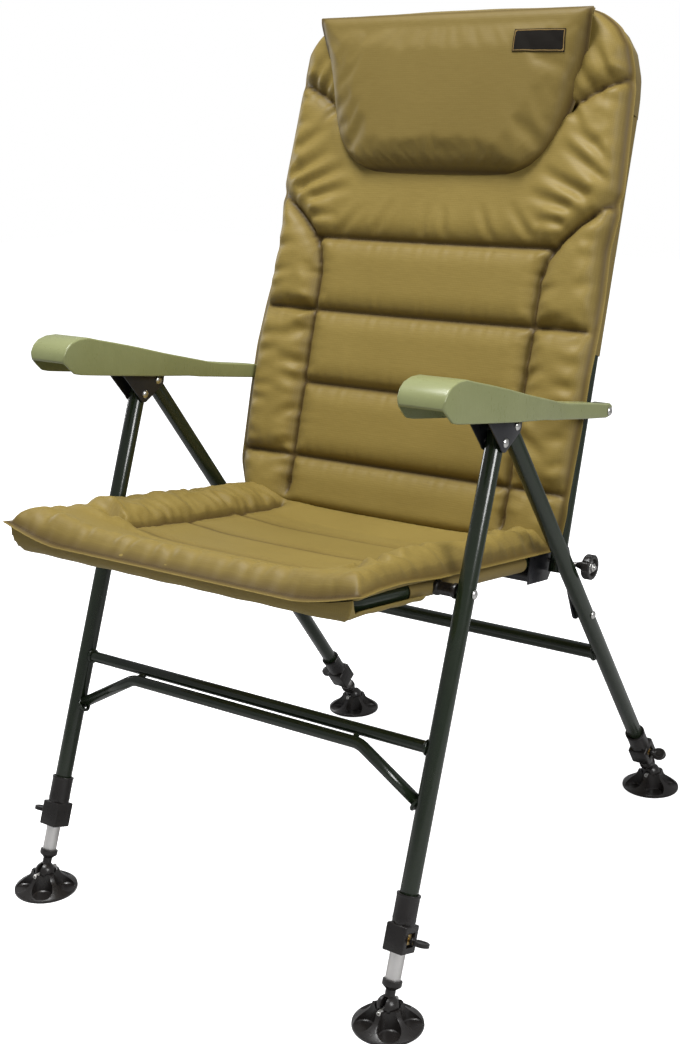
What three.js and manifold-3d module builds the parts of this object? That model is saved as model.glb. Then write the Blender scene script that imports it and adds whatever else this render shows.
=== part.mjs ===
// Carp fishing chair: a folding steel frame with arms, four telescopic legs and quilted pads.
// Millimetres, +Z up. The sitter faces -Y. The origin is the middle of the footprint, on the ground.
// "left" and "right" are the sitter's own, so left is +X.
import * as THREE from 'three';
import { mergeVertices } from 'three/addons/utils/BufferGeometryUtils.js';
import Module from 'manifold-3d';

const wasm = await Module();
wasm.setup();

// Frame layout, seen from the side
const WHEELBASE = 706;
const TRACK = 530;
const BALL_HEIGHT = 24.5;
const ARM_PIVOT_SETBACK = 219.4;
const ARM_PIVOT_HEIGHT = 616.2;
const REAR_PIVOT_SETBACK = 26.7;
const REAR_PIVOT_RISE = 14.4;
const SEAT_PIVOT_DROP = 170.1;
const SEAT_LINK = 274.3;
const SEAT_SLOPE = THREE.MathUtils.degToRad(-8.33);
const BACK_LEAN = THREE.MathUtils.degToRad(16.47);
const BACK_LINK = 195;
const STAY_LINK = 82.1;

// Tubes
const LEG_RADIUS = 10.5;
const LEG_BORE = 9.05;
const LEG_STUB = 11;
const INNER_RADIUS = 8.75;
const INNER_BORE = 7.25;
const INNER_LENGTH = 195;
const FRAME_RADIUS = 10;
const FRAME_BORE = 8.6;
const CROSSBAR_RADIUS = 7;
const CROSSBAR_BORE = 5.8;
const REAR_CROSSBAR_RADIUS = 9.5;
const REAR_CROSSBAR_BORE = 8.2;
const TUBE_SIDES = 14;
const BEND_STEPS = 3;

// Clearances
const FIT = 0.3;
const OVERRUN = 2;
const WELD = 0.0005;

// Crossbars, as distances down their legs from the leg's top pivot
const UPPER_BAR_DOWN = 345.7;
const LOWER_BAR_DOWN = 409.5;
const LOWER_BAR_RISE = 46;
const LOWER_BAR_STEP = 9.5;
const LOWER_BAR_BEND_INSET = 93;
const LOWER_BAR_BEND_X = TRACK / 2 - LOWER_BAR_BEND_INSET;
const LOWER_BAR_BEND_RADIUS = 30;
const REAR_BAR_DOWN = 454;

// Rivets and bolts
const RIVET_SHANK = 3;
const RIVET_HEAD = 5.2;
const RIVET_HEAD_HEIGHT = 2.4;
const RIVET_SIDES = 12;
const RIVET_DOME_SHARE = 0.62;
const SPACER_RADIUS = 9;
const STUD_RADIUS = 3;

// Seat and back frames
const SEAT_RAIL_INSET = 49;
const SEAT_RAIL_X = TRACK / 2 - SEAT_RAIL_INSET;
const SEAT_FRONT_REACH = 179;
const SEAT_TAIL = 13;
const SEAT_BEND = 42;
const HINGE_BAR_RADIUS = 8;
const HINGE_BAR_AHEAD = 34;
const HINGE_PLATE = 2.5;
const HINGE_PLATE_HEIGHT = 38;
const HINGE_PLATE_LENGTH = 64;
const BACK_RAIL_INSET = 25;
const BACK_RAIL_X = TRACK / 2 - BACK_RAIL_INSET;
const BACK_HEIGHT = 640;
const BACK_TAIL = 14;
const BACK_BEND = 70;
const STAY_THICK = 3;
const STAY_HALF_WIDTH = 11;
const STAY_FOOT = 9;
const STAY_HEAD = 25;
const STAY_SIDE_GAP = 0.6;

// Recline knob
const KNOB_RADIUS = 16;
const KNOB_RIM = 9;
const KNOB_NECK = 4.2;
const KNOB_CUP = 11;
const KNOB_CUP_DEPTH = 4;
const KNOB_NECK_START = 1.5;
const KNOB_FLARE = 5;
const KNOB_CLEAR = 2.5;
const KNOB_SIDES = 20;
const BALL_STEPS = 4;
const DISC_SIDES = 20;
const DISH_SIDES = 8;
const BAR_SIDES = 10;
const SLEEVE_SIDES = 10;

// Armrests, in a frame that starts at the tail pivot and runs forward through the arm pivot
const ARM_REACH = 423;
const ARM_RISE = 84.7;
const ARM_HALF_WIDTH = 29.5;
const ARM_WALL = 3;
const ARM_TAIL_HALF = 8.6;
const ARM_TAIL_HALF_WIDTH = 12.4;
const ARM_HOLLOW_START = 195;
const ARM_TAPER_START = 200;
const ARM_TAPER_END = 290;
const ARM_NOSE_ROUND = 10;
const ARM_TOP_SHARES = [
  [0.025, 0.107], [0.16, 0.222], [0.274, 0.298], [0.382, 0.408], [0.515, 0.555],
  [0.73, 0.815], [0.85, 0.941], [0.907, 0.998], [0.945, 1.0], [0.972, 0.955], [0.991, 0.868], [1.0, 0.69],
];
const ARM_BASE_SHARES = [[0.95, 0.498], [0.829, 0.41], [0.633, 0.29], [0.453, 0.19], [0.21, 0.026], [0.073, -0.057]];
const TAIL_ARC_SHARES = [-0.5, -0.75, 1, 0.75, 0.5];

// Arm brackets
const BRACKET_WALL = 2;
const BRACKET_FRONT = 42;
const BRACKET_REAR = 14;
const BRACKET_NOSE_RISE = 17;
const BRACKET_LOBE = 11;
const BRACKET_SIDE_GAP = 0.8;

// Clamp collars. They start at a distance up the leg from the ball's centre.
const FRONT_COLLAR_START = 61;
const REAR_COLLAR_START = 45;
const BLOCK_LENGTH = 31;
const BLOCK_HALF = 13;
const COLLAR_LENGTH = 64;
const SLEEVE_RADIUS = 13.4;
const COLLAR_STOP = 33;
const SHOULDER = 7;
const POCKET_HALF = 7;
const POCKET_DEPTH = 2.4;
const SCREW_RADIUS = 2.7;
const SCREW_NECK = 4.5;
const SCREW_NECK_RADIUS = 4.2;
const PADDLE_LENGTH = 20;
const PADDLE_HALF_WIDTH = 9;
const PADDLE_THICK = 4.4;

// Feet
const DISC_RADIUS = 40.5;
const DISC_EDGE = 3.6;
const SKIRT_RISE = 7;
const HUB_RADIUS = 18.5;
const HUB_RISE = 1.8;
const HUB_WALL_SHARE = 0.86;
const BALL_RADIUS = 13;
const SOCKET_RADIUS = 14.2;
const SOCKET_SIDES = 14;
const DISH_RADIUS = 12.5;
const DISH_REACH = 27;
const DISH_FLOOR = 4.6;
const DISH_COUNT = 5;
const FOOT_PIN_RADIUS = 2.7;
const FOOT_PIN_LENGTH = 37.5;
const HUB_SLOT_HALF = 7;
const PIN_SWING = THREE.MathUtils.degToRad(47);
const NECK_RADIUS = 6;
const CUP_START = 19;
const CUP_RADIUS = 11;
const CUP_SEAT = 25;
const CUP_TOP = 29;
const PLUG_TOP = 42;

// Soft parts
const SLING_THICK = 1.4;
const SLEEVE_WALL = 1.6;
const PAD_LIFT = FRAME_RADIUS + FIT + SLEEVE_WALL;
const SLING_SAG = 26;
const SLING_SAG_STEPS = 12;
const SEAT_SLING_START = 26;
const SEAT_SLING_END = 132;
const SEAT_SLING_TAIL_GAP = 60;
const SPACER_NOTCH = 12;
const BACK_SLING_START = 262;
const BACK_SLING_TOP_GAP = 74;
const BACK_SLING_SAG = 12;
const PAD_INSET = 17;
const SEAT_PAD_HALF = TRACK / 2 - PAD_INSET;
const SEAT_PAD_FLARE = 8;
const SEAT_PAD_LOFT = 27;
const SEAT_PAD_FRONT_DROP = 15;
const SEAT_PAD_THICK = 11;
const SEAT_PAD_TAIL = 36;
const SEAT_PAD_OVERHANG = 4;
const SEAM_INSET = 96;
const SEAM_X = TRACK / 2 - SEAM_INSET;
const SEAM_DEPTH = 9;
const SEAM_WIDTH = 15;
const PAD_EDGE = 26;
const SEAT_SEAMS = [172, 274];
const BACK_PAD_HALF = TRACK / 2 - PAD_INSET;
const BACK_PAD_START = 30;
const BACK_PAD_END = 672;
const BACK_PAD_LOFT = 24;
const BACK_PAD_THICK = 12;
const BACK_SEAMS = [83, 185, 287, 388];
const CHANNEL_TOP = 470;
const HEADREST_INSET = 79;
const HEADREST_HALF = TRACK / 2 - HEADREST_INSET;
const HEADREST_LOW = 480;
const HEADREST_HIGH = 684;
const HEADREST_LOFT = 26;
const HEADREST_THICK = 12;
const LABEL_WIDTH = 73;
const LABEL_HEIGHT = 29;
const LABEL_THICK = 1.2;
const LABEL_X = -130;
const LABEL_UP = 641;
const PAD_COLUMNS = 16;
const PAD_ROWS = 16;
const HEADREST_COLUMNS = 12;
const HEADREST_ROWS = 8;

// Finishes
const FINISHES = {
  greenTube: { color: 0x26332a, roughness: 0.35, metalness: 0.2 },
  greenPlastic: { color: 0x7f9068, roughness: 0.55, metalness: 0 },
  blackPlastic: { color: 0x2a2829, roughness: 0.6, metalness: 0 },
  blackSteel: { color: 0x141316, roughness: 0.45, metalness: 0.3 },
  aluminium: { color: 0xc9c6c0, roughness: 0.35, metalness: 0.9 },
  steel: { color: 0xd6d4cf, roughness: 0.25, metalness: 1 },
  fabric: { color: 0x8a7540, roughness: 0.85, metalness: 0 },
  label: { color: 0x2b2622, roughness: 0.8, metalness: 0 },
};

// Side-view points and directions are { y, z }
const point = (y, z) => ({ y, z });
const add = (a, b, times) => point(a.y + b.y * times, a.z + b.z * times);
const turnBy = (angle) => point(-Math.sin(angle), Math.cos(angle));
const acrossOf = (v) => point(-v.z, v.y);
const directionTo = (a, b) => {
  const length = Math.hypot(b.y - a.y, b.z - a.z);
  return point((b.y - a.y) / length, (b.z - a.z) / length);
};

const FRONT_BALL = point(-WHEELBASE / 2, BALL_HEIGHT);
const REAR_BALL = point(WHEELBASE / 2, BALL_HEIGHT);
const ARM_PIVOT = point(FRONT_BALL.y + ARM_PIVOT_SETBACK, ARM_PIVOT_HEIGHT);
const REAR_PIVOT = point(ARM_PIVOT.y + REAR_PIVOT_SETBACK, ARM_PIVOT.z + REAR_PIVOT_RISE);
const FRONT_UP = directionTo(FRONT_BALL, ARM_PIVOT);
const REAR_UP = directionTo(REAR_BALL, REAR_PIVOT);
const SEAT_PIVOT = add(ARM_PIVOT, FRONT_UP, -SEAT_PIVOT_DROP);
const SEAT_BACKWARD = point(Math.cos(SEAT_SLOPE), Math.sin(SEAT_SLOPE));
const SEAT_UP = acrossOf(point(SEAT_BACKWARD.y, SEAT_BACKWARD.z));
const HINGE = add(SEAT_PIVOT, SEAT_BACKWARD, SEAT_LINK);
const BACK_UP = turnBy(-BACK_LEAN);
const BACK_FORWARD = acrossOf(BACK_UP);
const TAIL_PIVOT = add(HINGE, BACK_UP, BACK_LINK);
const ARM_FORWARD = directionTo(TAIL_PIVOT, ARM_PIVOT);
const ARM_UP = acrossOf(point(-ARM_FORWARD.y, -ARM_FORWARD.z));
const STAY_PIVOT = stayPivot();

// The stay's lower rivet is on the rear leg, one stay length below the back hinge.
function stayPivot() {
  const reach = (HINGE.y - REAR_PIVOT.y) * -REAR_UP.y + (HINGE.z - REAR_PIVOT.z) * -REAR_UP.z;
  const foot = add(REAR_PIVOT, REAR_UP, -reach);
  const offset = Math.hypot(HINGE.y - foot.y, HINGE.z - foot.z);
  return add(foot, REAR_UP, -Math.sqrt(STAY_LINK ** 2 - offset ** 2));
}

const vec = (x, p) => new THREE.Vector3(x, p.y, p.z);
const flat = (v) => new THREE.Vector3(0, v.y, v.z);

// Welds a geometry, drops its empty triangles and turns its faces outward.
function tidy(geometry) {
  const bare = geometry.clone();
  bare.deleteAttribute('normal');
  bare.deleteAttribute('uv');
  const welded = mergeVertices(bare, WELD);
  const p = welded.attributes.position.array;
  const corners = [];
  let volume = 0;
  for (let i = 0; i < welded.index.count; i += 3) {
    const [a, b, c] = [welded.index.getX(i), welded.index.getX(i + 1), welded.index.getX(i + 2)];
    if (a === b || b === c || c === a) continue;
    corners.push(a, b, c);
    const [va, vb, vc] = [a, b, c].map((k) => new THREE.Vector3(p[3 * k], p[3 * k + 1], p[3 * k + 2]));
    volume += va.dot(vb.cross(vc));
  }
  if (volume < 0) corners.reverse();
  welded.setIndex(corners);
  return welded;
}

function toSolid(geometry) {
  const whole = tidy(geometry);
  return new wasm.Manifold(new wasm.Mesh({
    numProp: 3,
    vertProperties: new Float32Array(whole.attributes.position.array),
    triVerts: new Uint32Array(whole.index.array),
  }));
}

function toGeometry(solid) {
  const mesh = solid.getMesh();
  const geometry = new THREE.BufferGeometry();
  geometry.setAttribute('position', new THREE.BufferAttribute(new Float32Array(mesh.vertProperties), 3));
  geometry.setIndex([...mesh.triVerts]);
  return geometry;
}

const cut = (body, ...tools) => toGeometry(tools.reduce((s, t) => s.subtract(toSolid(t)), toSolid(body)));
const join = (body, ...more) => toGeometry(more.reduce((s, t) => s.add(toSolid(t)), toSolid(body)));
const common = (body, tool) => toGeometry(toSolid(body).intersect(toSolid(tool)));

// Moves a geometry made about the origin so that its x, y and z run along three given directions.
function aim(geometry, origin, xDirection, yDirection, zDirection) {
  const matrix = new THREE.Matrix4().makeBasis(xDirection, yDirection, zDirection);
  matrix.setPosition(origin);
  return geometry.applyMatrix4(matrix);
}

const X_AXIS = new THREE.Vector3(1, 0, 0);

// A turned shape: profile points are [radius, distance] along the axis from the origin.
function turned(profile, origin, axis, sides = TUBE_SIDES) {
  const points = profile.map(([radius, distance]) => new THREE.Vector2(radius, distance));
  const lathe = new THREE.LatheGeometry(points, sides);
  const side = Math.abs(axis.x) > Math.SQRT1_2 ? new THREE.Vector3(0, 0, 1) : X_AXIS.clone();
  const third = new THREE.Vector3().crossVectors(side, axis).normalize();
  return aim(lathe, origin, new THREE.Vector3().crossVectors(axis, third), axis, third);
}

function pipe(start, end, radius, bore, sides = TUBE_SIDES) {
  const axis = new THREE.Vector3().subVectors(end, start);
  const length = axis.length();
  const profile = [[bore, 0], [radius, 0], [radius, length], [bore, length], [bore, 0]];
  return turned(profile, start, axis.normalize(), sides);
}

function rod(start, end, radius, sides = TUBE_SIDES) {
  const axis = new THREE.Vector3().subVectors(end, start);
  const length = axis.length();
  return turned([[0, 0], [radius, 0], [radius, length], [0, length]], start, axis.normalize(), sides);
}

// A rod along X through a side-view point.
const rodX = (p, x0, x1, radius, sides = RIVET_SIDES) => rod(vec(x0, p), vec(x1, p), radius, sides);

// A domed rivet along X, with a head past each end.
function rivet(p, x0, x1) {
  const length = Math.abs(x1 - x0);
  const dome = RIVET_HEAD * RIVET_DOME_SHARE;
  const profile = [
    [0, -RIVET_HEAD_HEIGHT], [dome, -RIVET_HEAD_HEIGHT * RIVET_DOME_SHARE], [RIVET_HEAD, 0], [RIVET_SHANK, 0],
    [RIVET_SHANK, length], [RIVET_HEAD, length], [dome, length + RIVET_HEAD_HEIGHT * RIVET_DOME_SHARE],
    [0, length + RIVET_HEAD_HEIGHT],
  ];
  return turned(profile, vec(x0, p), X_AXIS.clone().multiplyScalar(Math.sign(x1 - x0)), RIVET_SIDES);
}

// A plate with a side-view outline, from x0 to x1.
function plate(outline, x0, x1, holes = []) {
  const shape = new THREE.Shape(outline.map((p) => new THREE.Vector2(p.y, p.z)));
  shape.holes = holes.map((hole) => new THREE.Path(hole.map((p) => new THREE.Vector2(p.y, p.z))));
  const slab = new THREE.ExtrudeGeometry(shape, { depth: Math.abs(x1 - x0), bevelEnabled: false });
  const y = new THREE.Vector3(0, 1, 0);
  const z = new THREE.Vector3(0, 0, 1);
  return aim(slab, new THREE.Vector3(Math.min(x0, x1), 0, 0), y, z, X_AXIS);
}

function circle(centre, radius, sides = RIVET_SIDES) {
  return Array.from({ length: sides }, (_, i) => {
    const angle = (2 * Math.PI * i) / sides;
    return point(centre.y + radius * Math.cos(angle), centre.z + radius * Math.sin(angle));
  });
}

// The convex outline round a set of side-view points.
function hull(points) {
  const sorted = [...points].sort((a, b) => a.y - b.y || a.z - b.z);
  const turn = (o, a, b) => (a.y - o.y) * (b.z - o.z) - (a.z - o.z) * (b.y - o.y);
  const half = (list) => {
    const chain = [];
    for (const p of list) {
      while (chain.length > 1 && turn(chain[chain.length - 2], chain[chain.length - 1], p) <= 0) chain.pop();
      chain.push(p);
    }
    return chain.slice(0, -1);
  };
  return [...half(sorted), ...half(sorted.reverse())];
}

// A path of straight runs with rounded corners, which has one ring at each stop.
class BentPath extends THREE.Curve {
  constructor(corners, bendRadius) {
    super();
    this.stops = [corners[0]];
    for (let i = 1; i < corners.length - 1; i += 1) this.roundCorner(corners[i - 1], corners[i], corners[i + 1], bendRadius);
    this.stops.push(corners[corners.length - 1]);
  }

  roundCorner(before, corner, after, radius) {
    const back = new THREE.Vector3().subVectors(before, corner).normalize();
    const on = new THREE.Vector3().subVectors(after, corner).normalize();
    const half = back.angleTo(on) / 2;
    const inward = new THREE.Vector3().addVectors(back, on).normalize();
    const centre = corner.clone().addScaledVector(inward, radius / Math.sin(half));
    const start = corner.clone().addScaledVector(back, radius / Math.tan(half)).sub(centre);
    const normal = new THREE.Vector3().crossVectors(back, on).normalize();
    const sweep = -(Math.PI - 2 * half);
    for (let k = 0; k <= BEND_STEPS; k += 1) {
      this.stops.push(start.clone().applyAxisAngle(normal, (sweep * k) / BEND_STEPS).add(centre));
    }
  }

  get steps() {
    return this.stops.length - 1;
  }

  getUtoTmapping(u) {
    return u;
  }

  getPoint(t) {
    return this.stops[Math.round(t * this.steps)].clone();
  }

  getTangent(t) {
    const i = Math.round(t * this.steps);
    const tangent = new THREE.Vector3();
    if (i > 0) tangent.add(new THREE.Vector3().subVectors(this.stops[i], this.stops[i - 1]).normalize());
    if (i < this.steps) tangent.add(new THREE.Vector3().subVectors(this.stops[i + 1], this.stops[i]).normalize());
    return tangent.normalize();
  }
}

function bentTube(corners, bendRadius, radius, bore, sides = TUBE_SIDES) {
  const path = new BentPath(corners, bendRadius);
  const ring = (r) => circle(point(0, 0), r, sides).map((p) => new THREE.Vector2(p.y, p.z));
  const section = new THREE.Shape(ring(radius));
  section.holes = [new THREE.Path(ring(bore))];
  return new THREE.ExtrudeGeometry(section, { steps: path.steps, extrudePath: path, bevelEnabled: false });
}

// Frame tubes

const legX = (side) => (side * TRACK) / 2;

function frontLeg(side) {
  const bottom = add(FRONT_BALL, FRONT_UP, FRONT_COLLAR_START + COLLAR_STOP);
  const top = add(ARM_PIVOT, FRONT_UP, LEG_STUB);
  const tube = pipe(vec(legX(side), bottom), vec(legX(side), top), LEG_RADIUS, LEG_BORE);
  return cut(tube, crossHole(ARM_PIVOT, legX(side)), crossHole(SEAT_PIVOT, legX(side)));
}

function rearLeg(side) {
  const bottom = add(REAR_BALL, REAR_UP, REAR_COLLAR_START + COLLAR_STOP);
  const top = add(REAR_PIVOT, REAR_UP, LEG_STUB);
  const tube = pipe(vec(legX(side), bottom), vec(legX(side), top), LEG_RADIUS, LEG_BORE);
  return cut(tube, crossHole(REAR_PIVOT, legX(side)), crossHole(STAY_PIVOT, legX(side)));
}

// A hole along X right through a tube, for a rivet's shank.
function crossHole(p, x) {
  const reach = LEG_RADIUS + OVERRUN;
  return rodX(p, x - reach, x + reach, RIVET_SHANK + FIT);
}

// A straight bar across the chair, coped to fit against both legs.
function crossbar(p, up, radius, bore) {
  const reach = TRACK / 2;
  const bar = pipe(vec(-reach, p), vec(reach, p), radius, bore, TUBE_SIDES);
  const copes = [-1, 1].map((side) => legEnvelope(side, p, up, radius));
  return cut(bar, ...copes);
}

// The space a leg fills near a crossbar's end, with the fitting gap round it.
function legEnvelope(side, p, up, radius) {
  const span = radius * 2 + LEG_RADIUS;
  const low = vec(legX(side), add(p, up, -span));
  const high = vec(legX(side), add(p, up, span));
  return rod(low, high, LEG_RADIUS + FIT);
}

function upperCrossbar() {
  return crossbar(add(ARM_PIVOT, FRONT_UP, -UPPER_BAR_DOWN), FRONT_UP, CROSSBAR_RADIUS, CROSSBAR_BORE);
}

// The lower front bar rises from each leg, bends, and runs close under the upper bar.
function lowerCrossbar() {
  const ends = add(ARM_PIVOT, FRONT_UP, -LOWER_BAR_DOWN);
  const forward = point(-FRONT_UP.z, FRONT_UP.y);
  const run = add(add(ends, FRONT_UP, LOWER_BAR_RISE), forward, LOWER_BAR_STEP);
  const corners = [
    vec(-legX(1), ends), vec(-LOWER_BAR_BEND_X, run), vec(LOWER_BAR_BEND_X, run), vec(legX(1), ends),
  ];
  const bar = bentTube(corners, LOWER_BAR_BEND_RADIUS, CROSSBAR_RADIUS, CROSSBAR_BORE, BAR_SIDES);
  return cut(bar, ...[-1, 1].map((side) => legEnvelope(side, ends, FRONT_UP, CROSSBAR_RADIUS)));
}

function rearCrossbar() {
  return crossbar(add(REAR_PIVOT, REAR_UP, -REAR_BAR_DOWN), REAR_UP, REAR_CROSSBAR_RADIUS, REAR_CROSSBAR_BORE);
}

// The seat's two rails and front bar are one bent tube.
function seatFrameTube() {
  const front = add(SEAT_PIVOT, SEAT_BACKWARD, -SEAT_FRONT_REACH);
  const tail = add(HINGE, SEAT_BACKWARD, SEAT_TAIL);
  const corners = [vec(-SEAT_RAIL_X, tail), vec(-SEAT_RAIL_X, front), vec(SEAT_RAIL_X, front), vec(SEAT_RAIL_X, tail)];
  const tube = bentTube(corners, SEAT_BEND, FRAME_RADIUS, FRAME_BORE);
  const reach = SEAT_RAIL_X + FRAME_RADIUS + OVERRUN;
  const pivotHole = rodX(SEAT_PIVOT, -reach, reach, RIVET_SHANK + FIT);
  const studHole = rodX(HINGE, -reach, reach, STUD_RADIUS + FIT);
  return cut(tube, pivotHole, studHole);
}

// The seat's rear bar carries a hinge plate at each end, outside the rails.
function seatHingeBar() {
  const axis = add(HINGE, SEAT_BACKWARD, -HINGE_BAR_AHEAD);
  const inner = SEAT_RAIL_X + FRAME_RADIUS + FIT;
  const low = add(axis, SEAT_UP, -FRAME_RADIUS - FIT - HINGE_BAR_RADIUS);
  const bar = rodX(low, -inner - HINGE_PLATE / 2, inner + HINGE_PLATE / 2, HINGE_BAR_RADIUS, TUBE_SIDES);
  const rear = add(HINGE, SEAT_BACKWARD, STAY_HALF_WIDTH);
  const front = add(HINGE, SEAT_BACKWARD, STAY_HALF_WIDTH - HINGE_PLATE_LENGTH);
  const drop = HINGE_BAR_RADIUS * 2 + FRAME_RADIUS;
  const rise = HINGE_PLATE_HEIGHT - drop;
  const outline = [
    add(front, SEAT_UP, -drop), add(add(rear, SEAT_BACKWARD, -STAY_HALF_WIDTH), SEAT_UP, -drop),
    add(rear, SEAT_UP, -FRAME_RADIUS), add(rear, SEAT_UP, FRAME_RADIUS),
    add(add(rear, SEAT_BACKWARD, -STAY_HALF_WIDTH), SEAT_UP, rise), add(front, SEAT_UP, rise),
  ];
  const plates = [-1, 1].map((side) => plate(outline, side * inner, side * (inner + HINGE_PLATE)));
  const reach = inner + HINGE_PLATE + OVERRUN;
  return cut(join(bar, ...plates), rodX(HINGE, -reach, reach, STUD_RADIUS + FIT));
}

// The back's two stiles and top bar are one bent tube.
function backFrameTube() {
  const low = add(HINGE, BACK_UP, -BACK_TAIL);
  const top = add(HINGE, BACK_UP, BACK_HEIGHT);
  const corners = [vec(-BACK_RAIL_X, low), vec(-BACK_RAIL_X, top), vec(BACK_RAIL_X, top), vec(BACK_RAIL_X, low)];
  const tube = bentTube(corners, BACK_BEND, FRAME_RADIUS, FRAME_BORE);
  const reach = BACK_RAIL_X + FRAME_RADIUS + OVERRUN;
  return cut(tube, rodX(HINGE, -reach, reach, STUD_RADIUS + FIT));
}

// Stays and knobs

// A flat slotted strap from the back hinge down to the rear leg.
const stayOuterX = () => TRACK / 2 - LEG_RADIUS - STAY_SIDE_GAP;

function stay(side) {
  const up = directionTo(STAY_PIVOT, HINGE);
  const head = add(HINGE, up, STAY_HEAD - STAY_HALF_WIDTH);
  const foot = add(STAY_PIVOT, up, STAY_HALF_WIDTH - STAY_FOOT);
  const outline = hull([...circle(head, STAY_HALF_WIDTH), ...circle(foot, STAY_HALF_WIDTH)]);
  const slot = hull([...circle(HINGE, STUD_RADIUS + FIT), ...circle(head, STUD_RADIUS + FIT)]);
  const outer = stayOuterX();
  return plate(outline, side * outer, side * (outer - STAY_THICK), [slot]);
}

// A flared knob outside the rear leg, on a stud that runs in to the seat rail.
function reclineKnob(side) {
  const start = SEAT_RAIL_X + FRAME_BORE;
  const legOuter = TRACK / 2 + LEG_RADIUS;
  const flare = legOuter - KNOB_FLARE;
  const face = legOuter + KNOB_CLEAR;
  const nut = start - STUD_RADIUS;
  const along = (x) => x - nut;
  const profile = [
    [0, 0], [STUD_RADIUS, 0], [STUD_RADIUS, along(TRACK / 2 + KNOB_NECK_START)], [KNOB_NECK, along(TRACK / 2 + KNOB_FLARE)],
    [KNOB_NECK + KNOB_NECK_START, along(flare + KNOB_FLARE / 2)], [KNOB_RADIUS, along(face + KNOB_CLEAR)],
    [KNOB_RADIUS, along(face + KNOB_CLEAR + KNOB_RIM)], [KNOB_CUP, along(face + KNOB_CLEAR + KNOB_RIM)],
    [0, along(face + KNOB_CLEAR + KNOB_RIM - KNOB_CUP_DEPTH)],
  ];
  return turned(profile, vec(side * nut, HINGE), X_AXIS.clone().multiplyScalar(side), KNOB_SIDES);
}

function stayRivet(side) {
  return rivet(STAY_PIVOT, side * (TRACK / 2 - LEG_BORE + RIVET_HEAD_HEIGHT + FIT), side * (TRACK / 2 + LEG_RADIUS + FIT));
}

function seatPivotRivet(side) {
  const inner = SEAT_RAIL_X - FRAME_RADIUS - FIT;
  return rivet(SEAT_PIVOT, side * inner, side * (TRACK / 2 + LEG_RADIUS + FIT));
}

function seatSpacer(side) {
  const start = SEAT_RAIL_X + FRAME_RADIUS + FIT;
  const end = TRACK / 2 - LEG_RADIUS - FIT;
  return pipe(vec(side * start, SEAT_PIVOT), vec(side * end, SEAT_PIVOT), SPACER_RADIUS, RIVET_SHANK + FIT);
}

// Armrests and their brackets

const armPoint = (forward, up) => add(add(TAIL_PIVOT, ARM_FORWARD, forward), ARM_UP, up);
const armForwardOf = (p) => (p.y - TAIL_PIVOT.y) * ARM_FORWARD.y + (p.z - TAIL_PIVOT.z) * ARM_FORWARD.z;
const armUpOf = (p) => (p.y - TAIL_PIVOT.y) * ARM_UP.y + (p.z - TAIL_PIVOT.z) * ARM_UP.z;

// The height of the arm's top over its tail pivot, at a distance forward.
function armTop(forward) {
  const table = [[0, ARM_TAIL_HALF], ...ARM_TOP_SHARES.map(([f, u]) => [f * ARM_REACH, u * ARM_RISE])];
  const next = Math.max(1, table.findIndex(([f]) => f >= forward));
  const [[f0, u0], [f1, u1]] = [table[next - 1], table[next]];
  return u0 + ((u1 - u0) * (forward - f0)) / (f1 - f0);
}

function armSideOutline() {
  const top = ARM_TOP_SHARES.map(([f, u]) => armPoint(f * ARM_REACH, u * ARM_RISE));
  const base = ARM_BASE_SHARES.map(([f, u]) => armPoint(f * ARM_REACH, u * ARM_RISE));
  const tail = TAIL_ARC_SHARES.map((share) => {
    const angle = share * Math.PI;
    return armPoint(Math.cos(angle) * ARM_TAIL_HALF, Math.sin(angle) * ARM_TAIL_HALF);
  });
  return [...top, ...base, ...tail];
}

// The arm seen from above, as [forward, half width] down one edge.
function armPlan(shrink) {
  const wide = ARM_HALF_WIDTH - shrink;
  const narrow = ARM_TAIL_HALF_WIDTH - shrink;
  const nose = ARM_REACH - shrink;
  return [
    [-ARM_TAIL_HALF - OVERRUN, narrow], [ARM_TAPER_START, narrow], [ARM_TAPER_END, wide],
    [nose - ARM_NOSE_ROUND, wide], [nose - ARM_NOSE_ROUND / 3, wide - ARM_NOSE_ROUND / 3], [nose + OVERRUN, wide - ARM_NOSE_ROUND],
  ];
}

function armPlanBlock(side, shrink) {
  const edge = armPlan(shrink);
  const ring = [...edge, ...edge.map(([f, w]) => [f, -w]).reverse()];
  const shape = new THREE.Shape(ring.map(([f, w]) => new THREE.Vector2(f, w)));
  const slab = new THREE.ExtrudeGeometry(shape, { depth: 4 * ARM_RISE, bevelEnabled: false });
  const base = armPoint(0, -2 * ARM_RISE);
  return aim(slab, vec(legX(side), base), flat(ARM_FORWARD), X_AXIS, flat(ARM_UP));
}

function armHollow(side) {
  const inside = ARM_TOP_SHARES.map(([f, u]) => [f * ARM_REACH, u * ARM_RISE])
    .filter(([f]) => f > ARM_HOLLOW_START && f < ARM_REACH)
    .map(([f, u]) => armPoint(Math.min(f, ARM_REACH - ARM_WALL), u - ARM_WALL));
  const outline = [
    armPoint(ARM_HOLLOW_START, -ARM_RISE), armPoint(ARM_HOLLOW_START, armTop(ARM_HOLLOW_START) - ARM_WALL),
    ...inside, armPoint(ARM_REACH - ARM_WALL, ARM_RISE * ARM_TOP_SHARES[ARM_TOP_SHARES.length - 1][1]),
    armPoint(ARM_REACH - ARM_WALL, -ARM_RISE),
  ];
  const wide = ARM_HALF_WIDTH + OVERRUN;
  return common(plate(outline, legX(side) - wide, legX(side) + wide), armPlanBlock(side, ARM_WALL));
}

function armrest(side) {
  const wide = ARM_HALF_WIDTH + OVERRUN;
  const blank = common(plate(armSideOutline(), legX(side) - wide, legX(side) + wide), armPlanBlock(side, 0));
  const hole = rodX(TAIL_PIVOT, legX(side) - wide, legX(side) + wide, RIVET_SHANK + FIT);
  return cut(blank, armHollow(side), hole);
}

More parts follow.
